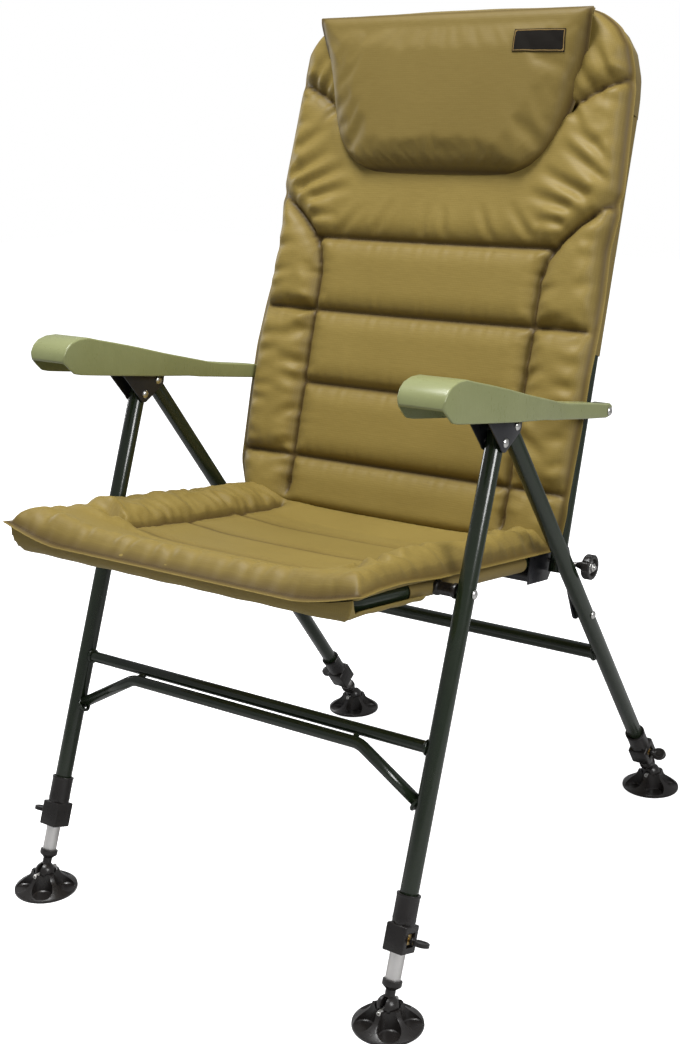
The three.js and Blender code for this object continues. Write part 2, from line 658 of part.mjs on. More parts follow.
// The rivet through the arm's tail stops short of the back stile.
function armTailRivet(side) {
  const inner = BACK_RAIL_X + FRAME_RADIUS + FIT + RIVET_HEAD_HEIGHT;
  const outer = TRACK / 2 + ARM_TAIL_HALF_WIDTH + FIT;
  const length = outer - inner;
  const profile = [
    [0, -RIVET_HEAD_HEIGHT], [RIVET_SHANK, -RIVET_HEAD_HEIGHT], [RIVET_SHANK, length], [RIVET_HEAD, length],
    [RIVET_HEAD * RIVET_DOME_SHARE, length + RIVET_HEAD_HEIGHT * RIVET_DOME_SHARE], [0, length + RIVET_HEAD_HEIGHT],
  ];
  return turned(profile, vec(side * inner, TAIL_PIVOT), X_AXIS.clone().multiplyScalar(side), RIVET_SIDES);
}

// An upside-down channel under the arm that holds the tops of both legs.
function armBracket(side) {
  const frontEnd = armForwardOf(ARM_PIVOT) + BRACKET_FRONT;
  const rearEnd = armForwardOf(REAR_PIVOT) - BRACKET_REAR;
  const webUp = (forward) => armTop(forward) - ARM_WALL - FIT;
  const knee = ARM_TOP_SHARES.map(([f]) => f * ARM_REACH).filter((f) => f > rearEnd && f < frontEnd);
  const webLine = [rearEnd, ...knee, frontEnd].map((f) => armPoint(f, webUp(f) - ARM_WALL));
  const cheek = hull([
    ...circle(ARM_PIVOT, BRACKET_LOBE), ...circle(REAR_PIVOT, BRACKET_LOBE), ...webLine,
    armPoint(frontEnd, armUpOf(ARM_PIVOT) + BRACKET_NOSE_RISE),
  ]);
  const inner = LEG_RADIUS + BRACKET_SIDE_GAP;
  const outer = inner + BRACKET_WALL;
  const web = [...webLine, ...webLine.map((p) => add(p, ARM_UP, -BRACKET_WALL)).reverse()];
  const x = legX(side);
  const body = join(plate(cheek, x - outer, x - inner), plate(cheek, x + inner, x + outer), plate(web, x - outer, x + outer));
  const holes = [ARM_PIVOT, REAR_PIVOT].map((p) => rodX(p, x - outer - OVERRUN, x + outer + OVERRUN, RIVET_SHANK + FIT));
  return cut(body, ...holes);
}

function bracketRivet(p, side) {
  const reach = LEG_RADIUS + BRACKET_SIDE_GAP + BRACKET_WALL + FIT;
  return rivet(p, legX(side) - reach, legX(side) + reach);
}

// Telescopic leg ends

function clampCollar(side, ball, up, start) {
  const x = legX(side);
  const at = (distance) => add(ball, up, start + distance);
  const across = new THREE.Vector3().crossVectors(flat(up), X_AXIS).normalize();
  const sleeve = turned([
    [0, SHOULDER], [SLEEVE_RADIUS, SHOULDER], [BLOCK_HALF + SHOULDER / 3, BLOCK_LENGTH],
    [SLEEVE_RADIUS, BLOCK_LENGTH + SHOULDER], [SLEEVE_RADIUS, COLLAR_LENGTH], [0, COLLAR_LENGTH],
  ], vec(x, at(0)), flat(up));
  const cube = new THREE.BoxGeometry(BLOCK_HALF * 2, BLOCK_HALF * 2, BLOCK_LENGTH);
  const middle = at(BLOCK_LENGTH / 2);
  const block = aim(cube, vec(x, middle), X_AXIS, across.clone().negate(), flat(up));
  const pocketCube = new THREE.BoxGeometry(POCKET_DEPTH * 2, POCKET_HALF * 2, POCKET_HALF * 2);
  const pocket = aim(pocketCube, vec(x + side * BLOCK_HALF, middle), X_AXIS, across.clone().negate(), flat(up));
  const legBore = rod(vec(x, at(COLLAR_STOP - FIT)), vec(x, at(COLLAR_LENGTH + OVERRUN)), LEG_RADIUS + FIT);
  const innerBore = rod(vec(x, at(-OVERRUN)), vec(x, at(COLLAR_LENGTH)), INNER_RADIUS + FIT);
  const screwHole = rodX(middle, x, x + side * (BLOCK_HALF + OVERRUN), SCREW_RADIUS + FIT);
  return cut(join(block, sleeve), legBore, innerBore, pocket, screwHole);
}

// A thumb screw with a flat oval paddle, in from the outer side of the block.
function clampScrew(side, ball, up, start) {
  const middle = add(ball, up, start + BLOCK_LENGTH / 2);
  const tip = legX(1) + INNER_RADIUS + FIT;
  const root = legX(1) + BLOCK_HALF + FIT;
  const shank = rodX(middle, side * tip, side * (root + SCREW_NECK), SCREW_RADIUS);
  const neck = rodX(middle, side * root, side * (root + SCREW_NECK), SCREW_NECK_RADIUS);
  const oval = circle(point(0, 0), 1, TUBE_SIDES)
    .map((p) => new THREE.Vector2((p.y * PADDLE_LENGTH) / 2, p.z * PADDLE_HALF_WIDTH));
  const slab = new THREE.ExtrudeGeometry(new THREE.Shape(oval), { depth: PADDLE_THICK, bevelEnabled: false });
  const across = new THREE.Vector3().crossVectors(flat(up), X_AXIS).normalize();
  const under = add(middle, up, -PADDLE_THICK / 2);
  const centre = root + SCREW_NECK / 2 + PADDLE_LENGTH / 2;
  const paddle = aim(slab, vec(side * centre, under), X_AXIS, across.negate(), flat(up));
  return join(shank, neck, paddle);
}

function innerLeg(side, ball, up) {
  const start = vec(legX(side), add(ball, up, CUP_SEAT + FIT));
  const end = vec(legX(side), add(ball, up, CUP_SEAT + INNER_LENGTH));
  return pipe(start, end, INNER_RADIUS, INNER_BORE);
}

// The plug's ball has a slot through it, in which the foot's pin swings.
function ballPlug(side, ball, up) {
  const ballArc = [];
  const neckAngle = Math.asin(NECK_RADIUS / BALL_RADIUS);
  for (let k = 0; k <= BALL_STEPS; k += 1) {
    const angle = ((Math.PI - neckAngle) * k) / BALL_STEPS;
    ballArc.push([BALL_RADIUS * Math.sin(angle), -BALL_RADIUS * Math.cos(angle)]);
  }
  const profile = [
    ...ballArc, [NECK_RADIUS, CUP_START], [CUP_RADIUS, CUP_SEAT - FIT], [CUP_RADIUS, CUP_TOP],
    [INNER_RADIUS + FIT, CUP_TOP], [INNER_RADIUS + FIT, CUP_SEAT], [INNER_BORE - FIT, CUP_SEAT],
    [INNER_BORE - FIT, PLUG_TOP], [0, PLUG_TOP],
  ];
  const plug = turned(profile, vec(legX(side), ball), flat(up), TUBE_SIDES);
  const waist = (FOOT_PIN_RADIUS + FIT) / Math.cos(PIN_SWING);
  const reach = BALL_RADIUS + OVERRUN;
  const rise = waist + reach * Math.tan(PIN_SWING);
  const across = acrossOf(up);
  const place = (along, high) => add(add(ball, across, along), up, high);
  const bowTie = [
    place(0, waist), place(reach, rise), place(reach, -rise), place(0, -waist), place(-reach, -rise), place(-reach, rise),
  ];
  const half = FOOT_PIN_RADIUS + FIT;
  return cut(plug, plate(bowTie, legX(side) - half, legX(side) + half));
}

function footPin(side, ball) {
  const half = FOOT_PIN_LENGTH / 2;
  return rod(vec(legX(side), point(ball.y - half, ball.z)), vec(legX(side), point(ball.y + half, ball.z)), FOOT_PIN_RADIUS);
}

// A round foot with a socket for the ball, and dished hollows between its ribs.
function footDisc(side, ball) {
  const centre = new THREE.Vector3(legX(side), ball.y, 0);
  const vertical = new THREE.Vector3(0, 0, 1);
  const hubTop = ball.z + HUB_RISE;
  const profile = [
    [0, 0], [DISC_RADIUS, 0], [DISC_RADIUS, DISC_EDGE], [(DISC_RADIUS + HUB_RADIUS) / 2, DISC_EDGE + SKIRT_RISE],
    [HUB_RADIUS, hubTop - SKIRT_RISE], [HUB_RADIUS * HUB_WALL_SHARE, hubTop], [0, hubTop],
  ];
  const body = turned(profile, centre, vertical, DISC_SIDES);
  const socket = new THREE.SphereGeometry(SOCKET_RADIUS, SOCKET_SIDES, SOCKET_SIDES / 2);
  socket.rotateX(Math.PI / 2).translate(centre.x, centre.y, ball.z);
  const mouth = rod(new THREE.Vector3(centre.x, centre.y, ball.z), new THREE.Vector3(centre.x, centre.y, hubTop + OVERRUN), SOCKET_RADIUS);
  const pinHole = rod(
    new THREE.Vector3(centre.x, centre.y - HUB_RADIUS - OVERRUN, ball.z),
    new THREE.Vector3(centre.x, centre.y + HUB_RADIUS + OVERRUN, ball.z), FOOT_PIN_RADIUS + FIT);
  const slot = new THREE.BoxGeometry(HUB_RADIUS * 3, HUB_SLOT_HALF * 2, hubTop).translate(centre.x, centre.y, ball.z + hubTop / 2);
  const dishes = Array.from({ length: DISH_COUNT }, (_, i) => {
    const angle = (2 * Math.PI * (i + 1 / 2)) / DISH_COUNT - Math.PI / 2;
    const at = centre.clone().add(new THREE.Vector3(Math.cos(angle) * DISH_REACH, Math.sin(angle) * DISH_REACH, DISH_FLOOR));
    return rod(at, at.clone().setZ(hubTop + OVERRUN), DISH_RADIUS, DISH_SIDES);
  });
  return cut(body, socket, mouth, pinHole, slot, ...dishes);
}

// Soft parts

// A sheet slung between two rails, with a sleeve round each.
function sling(railX, start, along, normal, length, sag, sides) {
  const innerR = FRAME_RADIUS + FIT;
  const outerR = innerR + SLEEVE_WALL;
  const sleeveRing = (side, r) => circle(point(side * railX, 0), r, sides);
  const sheet = [];
  for (let k = 0; k <= SLING_SAG_STEPS; k += 1) {
    const share = (2 * k) / SLING_SAG_STEPS - 1;
    sheet.push(point(share * railX, outerR - SLING_THICK / 2 + hang(sag, railX)(share * railX)));
  }
  const band = [...sheet.map((p) => point(p.y, p.z + SLING_THICK / 2)), ...sheet.map((p) => point(p.y, p.z - SLING_THICK / 2)).reverse()];
  const slab = (outline) => {
    const shape = new THREE.Shape(outline.map((p) => new THREE.Vector2(p.y, p.z)));
    const solid = new THREE.ExtrudeGeometry(shape, { depth: length, bevelEnabled: false });
    return aim(solid, vec(0, start), X_AXIS, flat(normal), flat(along));
  };
  const whole = join(slab(band), slab(sleeveRing(-1, outerR)), slab(sleeveRing(1, outerR)));
  const bores = [-1, 1].map((side) => rod(
    vec(side * railX, add(start, along, -OVERRUN)), vec(side * railX, add(start, along, length + OVERRUN)), innerR));
  return cut(whole, ...bores);
}

const SEAT_FORWARD = point(-SEAT_BACKWARD.y, -SEAT_BACKWARD.z);

function seatSling() {
  const start = add(HINGE, SEAT_FORWARD, SEAT_SLING_TAIL_GAP);
  const length = SEAT_LINK + SEAT_SLING_END - SEAT_SLING_TAIL_GAP;
  const cloth = sling(SEAT_RAIL_X, start, SEAT_FORWARD, SEAT_UP, length, SLING_SAG, SLEEVE_SIDES);
  const reach = SEAT_RAIL_X + FRAME_RADIUS + SEAT_SLING_START;
  return cut(cloth, rodX(SEAT_PIVOT, SEAT_RAIL_X, reach, SPACER_NOTCH), rodX(SEAT_PIVOT, -reach, -SEAT_RAIL_X, SPACER_NOTCH),
    rodX(SEAT_PIVOT, -SEAT_RAIL_X, -SEAT_RAIL_X + SEAT_SLING_START, RIVET_HEAD + FIT),
    rodX(SEAT_PIVOT, SEAT_RAIL_X - SEAT_SLING_START, SEAT_RAIL_X, RIVET_HEAD + FIT));
}

function backSling() {
  const start = add(HINGE, BACK_UP, BACK_SLING_START);
  const length = BACK_HEIGHT - BACK_SLING_START - BACK_SLING_TOP_GAP;
  return sling(BACK_RAIL_X, start, BACK_UP, BACK_FORWARD, length, BACK_SLING_SAG, SLEEVE_SIDES);
}

// A quilted pad: a grid over its outline, with a top and a bottom that meet along the drawn-in edge.
function quilt(origin, along, normal, length, form, columns = PAD_COLUMNS, rows = PAD_ROWS) {
  const positions = [];
  const corners = [];
  const place = (i, j, level) => {
    const across = (2 * i) / columns - 1;
    const distance = (length * j) / rows;
    const width = form.halfWidth(distance);
    const x = across * width;
    const edge = edgeRoll(Math.min(width - Math.abs(x), distance, length - distance), form.loft);
    const base = form.base(x, distance);
    const lift = level === 'top' ? form.crown(x, distance) * edge : -form.belly * edge;
    const q = add(add(origin, along, distance), normal, base + lift);
    return [x, q.y, q.z];
  };
  const index = new Map();
  const onEdge = (i, j) => i === 0 || j === 0 || i === columns || j === rows;
  for (const level of ['top', 'bottom']) {
    for (let j = 0; j <= rows; j += 1) {
      for (let i = 0; i <= columns; i += 1) {
        if (level === 'bottom' && onEdge(i, j)) {
          index.set(`${level} ${i} ${j}`, index.get(`top ${i} ${j}`));
        } else {
          index.set(`${level} ${i} ${j}`, positions.length / 3);
          positions.push(...place(i, j, level));
        }
      }
    }
  }
  const face = (level, i, j) => {
    const [a, b, c, d] = [[i, j], [i + 1, j], [i + 1, j + 1], [i, j + 1]].map(([m, n]) => index.get(`${level} ${m} ${n}`));
    corners.push(...(level === 'top' ? [a, b, c, a, c, d] : [a, c, b, a, d, c]));
  };
  for (const level of ['top', 'bottom']) {
    for (let j = 0; j < rows; j += 1) for (let i = 0; i < columns; i += 1) face(level, i, j);
  }
  const geometry = new THREE.BufferGeometry();
  geometry.setAttribute('position', new THREE.Float32BufferAttribute(positions, 3));
  geometry.setIndex(corners);
  return geometry;
}

// How full the stuffing is at a distance in from the pad's edge, from 0 to 1.
function edgeRoll(distance, loft) {
  const share = Math.min(1, Math.max(0, distance) / Math.max(PAD_EDGE, loft));
  return Math.sqrt(1 - (1 - share) ** 2);
}

// The dent that a row of stitches makes, as a share of its depth.
const dent = (distance, seam) => Math.max(0, 1 - Math.abs(distance - seam) / SEAM_WIDTH);

function channelCrown(loft, seams, limit) {
  return (x, distance) => {
    const side = dent(Math.abs(x), SEAM_X);
    const inChannels = Math.abs(x) < SEAM_X && distance < limit;
    const across = inChannels ? Math.max(0, ...seams.map((seam) => dent(distance, seam))) : 0;
    return loft - SEAM_DEPTH * Math.max(side, across);
  };
}

// How far a slung sheet hangs at a distance from the chair's middle.
const hang = (sag, railX) => (x) => -sag * Math.max(0, 1 - (x / railX) ** 2);

function seatPad() {
  const frontEdge = SEAT_LINK + SEAT_FRONT_REACH + FRAME_RADIUS + SEAT_PAD_OVERHANG;
  const length = frontEdge - SEAT_PAD_TAIL;
  const origin = add(HINGE, SEAT_FORWARD, SEAT_PAD_TAIL);
  const fromFront = (distance) => length - distance;
  const sag = hang(SLING_SAG, SEAT_RAIL_X - FRAME_RADIUS * 2);
  const barEdge = FRAME_RADIUS * 2 + SEAT_PAD_OVERHANG;
  const slingGap = SEAT_FRONT_REACH - SEAT_SLING_END - FRAME_RADIUS;
  const behindBar = (distance) => Math.min(1, Math.max(0, (distance - barEdge) / slingGap));
  const crown = channelCrown(SEAT_PAD_LOFT, SEAT_SEAMS, length);
  return quilt(origin, SEAT_FORWARD, SEAT_UP, length, {
    halfWidth: (d) => SEAT_PAD_HALF + SEAT_PAD_FLARE * Math.max(0, 1 - fromFront(d) / SEAT_FRONT_REACH),
    base: (x, d) => PAD_LIFT + SEAT_PAD_THICK / 2 + sag(x) * behindBar(fromFront(d)),
    crown: (x, d) => crown(x, fromFront(d)) - SEAT_PAD_FRONT_DROP * Math.max(0, 1 - fromFront(d) / SEAT_FRONT_REACH),
    belly: SEAT_PAD_THICK / 2 - FIT,
    loft: SEAT_PAD_LOFT,
  });
}

function backPad() {
  const origin = add(HINGE, BACK_UP, BACK_PAD_START);
  const crown = channelCrown(BACK_PAD_LOFT, BACK_SEAMS, CHANNEL_TOP);
  const sag = hang(BACK_SLING_SAG, BACK_RAIL_X - FRAME_RADIUS * 2);
  const nearTop = (h) => Math.min(1, Math.max(0, (BACK_HEIGHT - BACK_SLING_TOP_GAP - h) / BACK_SLING_TOP_GAP));
  return quilt(origin, BACK_UP, BACK_FORWARD, BACK_PAD_END - BACK_PAD_START, {
    halfWidth: () => BACK_PAD_HALF,
    base: (x, d) => PAD_LIFT + BACK_PAD_THICK / 2 + sag(x) * nearTop(d + BACK_PAD_START),
    crown: (x, d) => crown(x, d + BACK_PAD_START),
    belly: BACK_PAD_THICK / 2 - FIT,
    loft: BACK_PAD_LOFT,
  });
}

const headrestBase = PAD_LIFT + BACK_PAD_THICK / 2 + BACK_PAD_LOFT;

function headrest() {
  const origin = add(HINGE, BACK_UP, HEADREST_LOW);
  const length = HEADREST_HIGH - HEADREST_LOW;
  return quilt(origin, BACK_UP, BACK_FORWARD, length, {
    halfWidth: (d) => HEADREST_HALF * (0.6 + 0.4 * Math.min(1, Math.sqrt(d / (length / 2)))),
    base: () => headrestBase + HEADREST_THICK / 2,
    crown: () => HEADREST_LOFT,
    belly: HEADREST_THICK / 2 - FIT,
    loft: HEADREST_LOFT,
  }, HEADREST_COLUMNS, HEADREST_ROWS);
}

function labelPatch() {
  const level = headrestBase + HEADREST_THICK / 2 + HEADREST_LOFT + FIT;
  const slab = new THREE.BoxGeometry(LABEL_WIDTH, LABEL_HEIGHT, LABEL_THICK);
  const middle = add(add(HINGE, BACK_UP, LABEL_UP), BACK_FORWARD, level + LABEL_THICK / 2);
  return aim(slab, vec(-LABEL_X, middle), X_AXIS.clone().negate(), flat(BACK_UP), flat(BACK_FORWARD));
}

// The whole chair

const chair = new THREE.Group();
chair.name = 'carp_fishing_chair';

function piece(name, geometry, finish) {
  const mesh = new THREE.Mesh(tidy(geometry), new THREE.MeshStandardMaterial(FINISHES[finish]));
  mesh.name = name;
  chair.add(mesh);
}

const SIDES = [['left', 1], ['right', -1]];
const ENDS = [
  ['front', FRONT_BALL, FRONT_UP, FRONT_COLLAR_START],
  ['rear', REAR_BALL, REAR_UP, REAR_COLLAR_START],
];

for (const [name, side] of SIDES) {
  piece(`front_leg_${name}`, frontLeg(side), 'greenTube');
  piece(`rear_leg_${name}`, rearLeg(side), 'greenTube');
  piece(`armrest_${name}`, armrest(side), 'greenPlastic');
  piece(`arm_bracket_${name}`, armBracket(side), 'blackSteel');
  piece(`front_leg_rivet_${name}`, bracketRivet(ARM_PIVOT, side), 'steel');
  piece(`rear_leg_rivet_${name}`, bracketRivet(REAR_PIVOT, side), 'steel');
  piece(`arm_tail_rivet_${name}`, armTailRivet(side), 'steel');
  piece(`seat_pivot_rivet_${name}`, seatPivotRivet(side), 'steel');
  piece(`seat_pivot_spacer_${name}`, seatSpacer(side), 'blackPlastic');
  piece(`stay_${name}`, stay(side), 'blackSteel');
  piece(`stay_rivet_${name}`, stayRivet(side), 'steel');
  piece(`recline_knob_${name}`, reclineKnob(side), 'blackPlastic');
  for (const [end, ball, up, start] of ENDS) {
    piece(`clamp_collar_${end}_${name}`, clampCollar(side, ball, up, start), 'blackPlastic');
    piece(`clamp_screw_${end}_${name}`, clampScrew(side, ball, up, start), 'blackPlastic');
    piece(`inner_leg_${end}_${name}`, innerLeg(side, ball, up), 'aluminium');
    piece(`ball_plug_${end}_${name}`, ballPlug(side, ball, up), 'blackPlastic');
    piece(`foot_pin_${end}_${name}`, footPin(side, ball), 'steel');
    piece(`foot_disc_${end}_${name}`, footDisc(side, ball), 'blackPlastic');
  }
}
piece('front_crossbar_upper', upperCrossbar(), 'greenTube');
piece('front_crossbar_lower', lowerCrossbar(), 'greenTube');
piece('rear_crossbar', rearCrossbar(), 'greenTube');
piece('seat_frame_tube', seatFrameTube(), 'greenTube');
piece('seat_hinge_bar', seatHingeBar(), 'blackSteel');
piece('back_frame_tube', backFrameTube(), 'greenTube');
piece('seat_sling', seatSling(), 'fabric');
piece('back_sling', backSling(), 'fabric');
piece('seat_pad', seatPad(), 'fabric');
piece('back_pad', backPad(), 'fabric');
piece('headrest', headrest(), 'fabric');
piece('label_patch', labelPatch(), 'label');

export default chair;
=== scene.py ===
"""A folding fishing chair with quilted pads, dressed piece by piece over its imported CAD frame."""

from __future__ import annotations

import logging
import math
from dataclasses import dataclass, field
from enum import Enum
from typing import Callable, Iterable, NamedTuple, Sequence

import bpy
import numpy as np
from mathutils import Matrix, Vector

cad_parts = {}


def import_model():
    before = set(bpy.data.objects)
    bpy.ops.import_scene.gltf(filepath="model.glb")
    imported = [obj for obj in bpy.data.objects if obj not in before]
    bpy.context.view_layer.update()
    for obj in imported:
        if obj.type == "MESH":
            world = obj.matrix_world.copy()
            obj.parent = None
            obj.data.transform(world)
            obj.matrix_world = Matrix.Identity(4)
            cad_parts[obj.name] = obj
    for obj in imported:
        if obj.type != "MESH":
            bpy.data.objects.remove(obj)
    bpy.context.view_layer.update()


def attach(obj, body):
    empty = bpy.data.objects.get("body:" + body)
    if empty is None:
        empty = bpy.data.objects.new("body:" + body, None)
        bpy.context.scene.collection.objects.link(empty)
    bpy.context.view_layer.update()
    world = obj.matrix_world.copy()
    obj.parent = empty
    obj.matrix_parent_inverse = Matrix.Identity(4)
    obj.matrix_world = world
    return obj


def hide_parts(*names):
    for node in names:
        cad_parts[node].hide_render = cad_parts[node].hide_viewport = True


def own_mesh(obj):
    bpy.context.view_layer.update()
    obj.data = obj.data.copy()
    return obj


log = logging.getLogger("chair")

MM = 0.001
X = Vector((1, 0, 0))
WAVE_REPEAT = math.pi / 10  # how far apart a wave texture's bands are at scale 1
Profile = Sequence[tuple[float, float]]
Colour = tuple[float, float, float]


class Side(Enum):
    """The sitter's left and right, with the sign of X on each."""

    LEFT = 1
    RIGHT = -1

    @property
    def word(self) -> str:
        """The side's name in a node's name."""
        return self.name.lower()


class End(Enum):
    """The front and rear pair of legs."""

    FRONT = "front"
    REAR = "rear"


def at(y: float, z: float, x: float = 0.0) -> Vector:
    """A point given in millimetres, side view first."""
    return Vector((x, y, z)) * MM


def toward(start: Vector, finish: Vector) -> Vector:
    """The unit vector from one point to another."""
    return (finish - start).normalized()


def turned_across(v: Vector) -> Vector:
    """A side-view direction turned a quarter towards the back of the chair."""
    return Vector((0, -v.z, v.y))


@dataclass(frozen=True)
class Layout:
    """Where the chair's pivots and tubes are, in metres, as the CAD has them."""

    leg_x: float = 0.265
    rail_x: float = 0.216
    stile_x: float = 0.240
    front_ball: Vector = field(default_factory=lambda: at(-353, 24.5))
    rear_ball: Vector = field(default_factory=lambda: at(353, 24.5))
    arm_pivot: Vector = field(default_factory=lambda: at(-133.6, 616.2))
    rear_pivot: Vector = field(default_factory=lambda: at(-106.9, 630.6))
    seat_link: float = 0.2743
    seat_slope: float = math.radians(-8.33)
    seat_drop: float = 0.1701
    back_lean: float = math.radians(16.47)
    back_link: float = 0.195
    stay_link: float = 0.0821

    @property
    def front_up(self) -> Vector:
        """Up along a front leg."""
        return toward(self.front_ball, self.arm_pivot)

    @property
    def rear_up(self) -> Vector:
        """Up along a rear leg."""
        return toward(self.rear_ball, self.rear_pivot)

    @property
    def seat_pivot(self) -> Vector:
        """Where the seat rail is riveted to the front leg."""
        return self.arm_pivot - self.front_up * self.seat_drop

    @property
    def seat_rearward(self) -> Vector:
        """Back along a seat rail."""
        return Vector((0, math.cos(self.seat_slope), math.sin(self.seat_slope)))

    @property
    def seat_up(self) -> Vector:
        """Square to the seat, upwards."""
        return turned_across(self.seat_rearward)

    @property
    def hinge(self) -> Vector:
        """The axis on which the back turns on the seat."""
        return self.seat_pivot + self.seat_rearward * self.seat_link

    @property
    def back_up(self) -> Vector:
        """Up along a back stile."""
        return Vector((0, math.sin(self.back_lean), math.cos(self.back_lean)))

    @property
    def back_front(self) -> Vector:
        """Square to the back, towards the sitter."""
        return turned_across(self.back_up)

    @property
    def tail_pivot(self) -> Vector:
        """Where an arm's tail meets the back stile."""
        return self.hinge + self.back_up * self.back_link

    @property
    def stay_pivot(self) -> Vector:
        """Where a stay is riveted to a rear leg."""
        reach = (self.hinge - self.rear_pivot).dot(self.rear_up)
        foot = self.rear_pivot + self.rear_up * reach
        offset = (self.hinge - foot).length
        return foot - self.rear_up * math.sqrt(self.stay_link**2 - offset**2)

    def ball(self, end: End) -> Vector:
        """The centre of a foot's ball, in side view."""
        return self.front_ball if end is End.FRONT else self.rear_ball

    def up(self, end: End) -> Vector:
        """Up along a leg."""
        return self.front_up if end is End.FRONT else self.rear_up


PLAN = Layout()


# Finishes


class Term:
    """A number in a shader, which takes part in Python arithmetic."""

    def __init__(self, shader: "Shader", socket: bpy.types.NodeSocket) -> None:
        """Wraps a socket of the shader."""
        self.shader = shader
        self.socket = socket

    def _with(self, operation: str, *values: "Term | float") -> "Term":
        """A Math node on these values."""
        return self.shader.maths(operation, *values)

    def __add__(self, other: "Term | float") -> "Term":
        """The sum."""
        return self._with("ADD", self, other)

    __radd__ = __add__

    def __mul__(self, other: "Term | float") -> "Term":
        """The product."""
        return self._with("MULTIPLY", self, other)

    __rmul__ = __mul__

    def __sub__(self, other: "Term | float") -> "Term":
        """The difference."""
        return self._with("SUBTRACT", self, other)

    def __rsub__(self, other: "Term | float") -> "Term":
        """The difference the other way round."""
        return self._with("SUBTRACT", other, self)

    def __truediv__(self, other: "Term | float") -> "Term":
        """The quotient."""
        return self._with("DIVIDE", self, other)

    def below(self, limit: float) -> "Term":
        """1 where the number is under a limit."""
        return self._with("LESS_THAN", self, limit)

    def power(self, exponent: float) -> "Term":
        """The number to a power."""
        return self._with("POWER", self, exponent)

    def held(self) -> "Term":
        """The number kept between 0 and 1."""
        return Term(self.shader, self.shader.node("ShaderNodeClamp", inputs={"Value": self}).outputs[0])


class Shader:
    """A material under construction, with the node moves that the finishes share."""

    def __init__(self, name: str) -> None:
        """Starts an empty node tree with one Principled shader."""
        self.material = bpy.data.materials.new(name)
        self.material.use_nodes = True
        self.tree = self.material.node_tree
        self.tree.nodes.clear()
        self.output = self.tree.nodes.new("ShaderNodeOutputMaterial")
        self.surface = self.tree.nodes.new("ShaderNodeBsdfPrincipled")
        self.tree.links.new(self.surface.outputs[0], self.output.inputs[0])

    def set(self, target: bpy.types.NodeSocket, value: object) -> None:
        """Links a socket, or gives it a plain value."""
        if isinstance(value, Term):
            value = value.socket
        if isinstance(value, bpy.types.NodeSocket):
            self.tree.links.new(value, target)
        elif isinstance(value, tuple) and len(value) == 3 and target.type == "RGBA":
            target.default_value = (*value, 1.0)
        else:
            target.default_value = value

    def node(self, kind: str, settings: dict | None = None, inputs: dict | None = None) -> bpy.types.Node:
        """Adds a node.

        Args:
            kind: The node's type.
            settings: Its own properties, which are set first.
            inputs: Values or links of its sockets, by name or number.

        Returns:
            The node.
        """
        made = self.tree.nodes.new(kind)
        for key, value in (settings or {}).items():
            setattr(made, key, value)
        for key, value in (inputs or {}).items():
            self.set(made.inputs[key], value)
        return made

    def maths(self, operation: str, *values: "Term | float") -> Term:
        """One Math node on these values."""
        made = self.node("ShaderNodeMath", {"operation": operation}, dict(enumerate(values)))
        return Term(self, made.outputs[0])

    def place(self, turn: float = 0.0, scale: tuple[float, float, float] = (1, 1, 1)) -> bpy.types.NodeSocket:
        """Object coordinates, turned about X and scaled."""
        source = self.node("ShaderNodeTexCoord").outputs["Object"]
        if not turn and scale == (1, 1, 1):
            return source
        inputs = {"Vector": source, "Rotation": (turn, 0, 0), "Scale": scale}
        return self.node("ShaderNodeMapping", {}, inputs).outputs[0]

    def noise(self, where: bpy.types.NodeSocket, scale: float, detail: float = 2.0, rough: float = 0.5) -> Term:
        """Noise from 0 to 1."""
        inputs = {"Vector": where, "Scale": scale, "Detail": detail, "Roughness": rough}
        return Term(self, self.node("ShaderNodeTexNoise", {}, inputs).outputs["Fac"])

    def waves(self, where: bpy.types.NodeSocket, axis: str, scale: float, distortion: float = 0.0) -> Term:
        """Even sine bands across an axis."""
        settings = {"wave_type": "BANDS", "bands_direction": axis, "wave_profile": "SIN"}
        inputs = {"Vector": where, "Scale": scale, "Distortion": distortion, "Detail": 1.0}
        return Term(self, self.node("ShaderNodeTexWave", settings, inputs).outputs["Fac"])

    def between(self, factor: Term | float, low: object, high: object) -> bpy.types.NodeSocket:
        """A colour between two colours."""
        made = self.node("ShaderNodeMix", {"data_type": "RGBA"}, {"Factor": factor})
        self.set(made.inputs[6], low)
        self.set(made.inputs[7], high)
        return made.outputs[2]

    def attribute(self, name: str) -> Term:
        """A number kept on the piece's own points."""
        return Term(self, self.node("ShaderNodeAttribute", {"attribute_name": name}).outputs["Fac"])

    def bump(self, height: Term, depth: float, strength: float = 1.0, below: object = None) -> bpy.types.NodeSocket:
        """A Bump node of a depth in metres, on top of another if one is given."""
        inputs = {"Height": height, "Distance": depth, "Strength": strength}
        if below is not None:
            inputs["Normal"] = below
        return self.node("ShaderNodeBump", {}, inputs).outputs[0]

    def finish(self, **values: object) -> bpy.types.Material:
        """Sets the Principled shader's sockets, whose names have spaces in place of underscores."""
        for key, value in values.items():
            self.set(self.surface.inputs[key.replace("_", " ")], value)
        return self.material


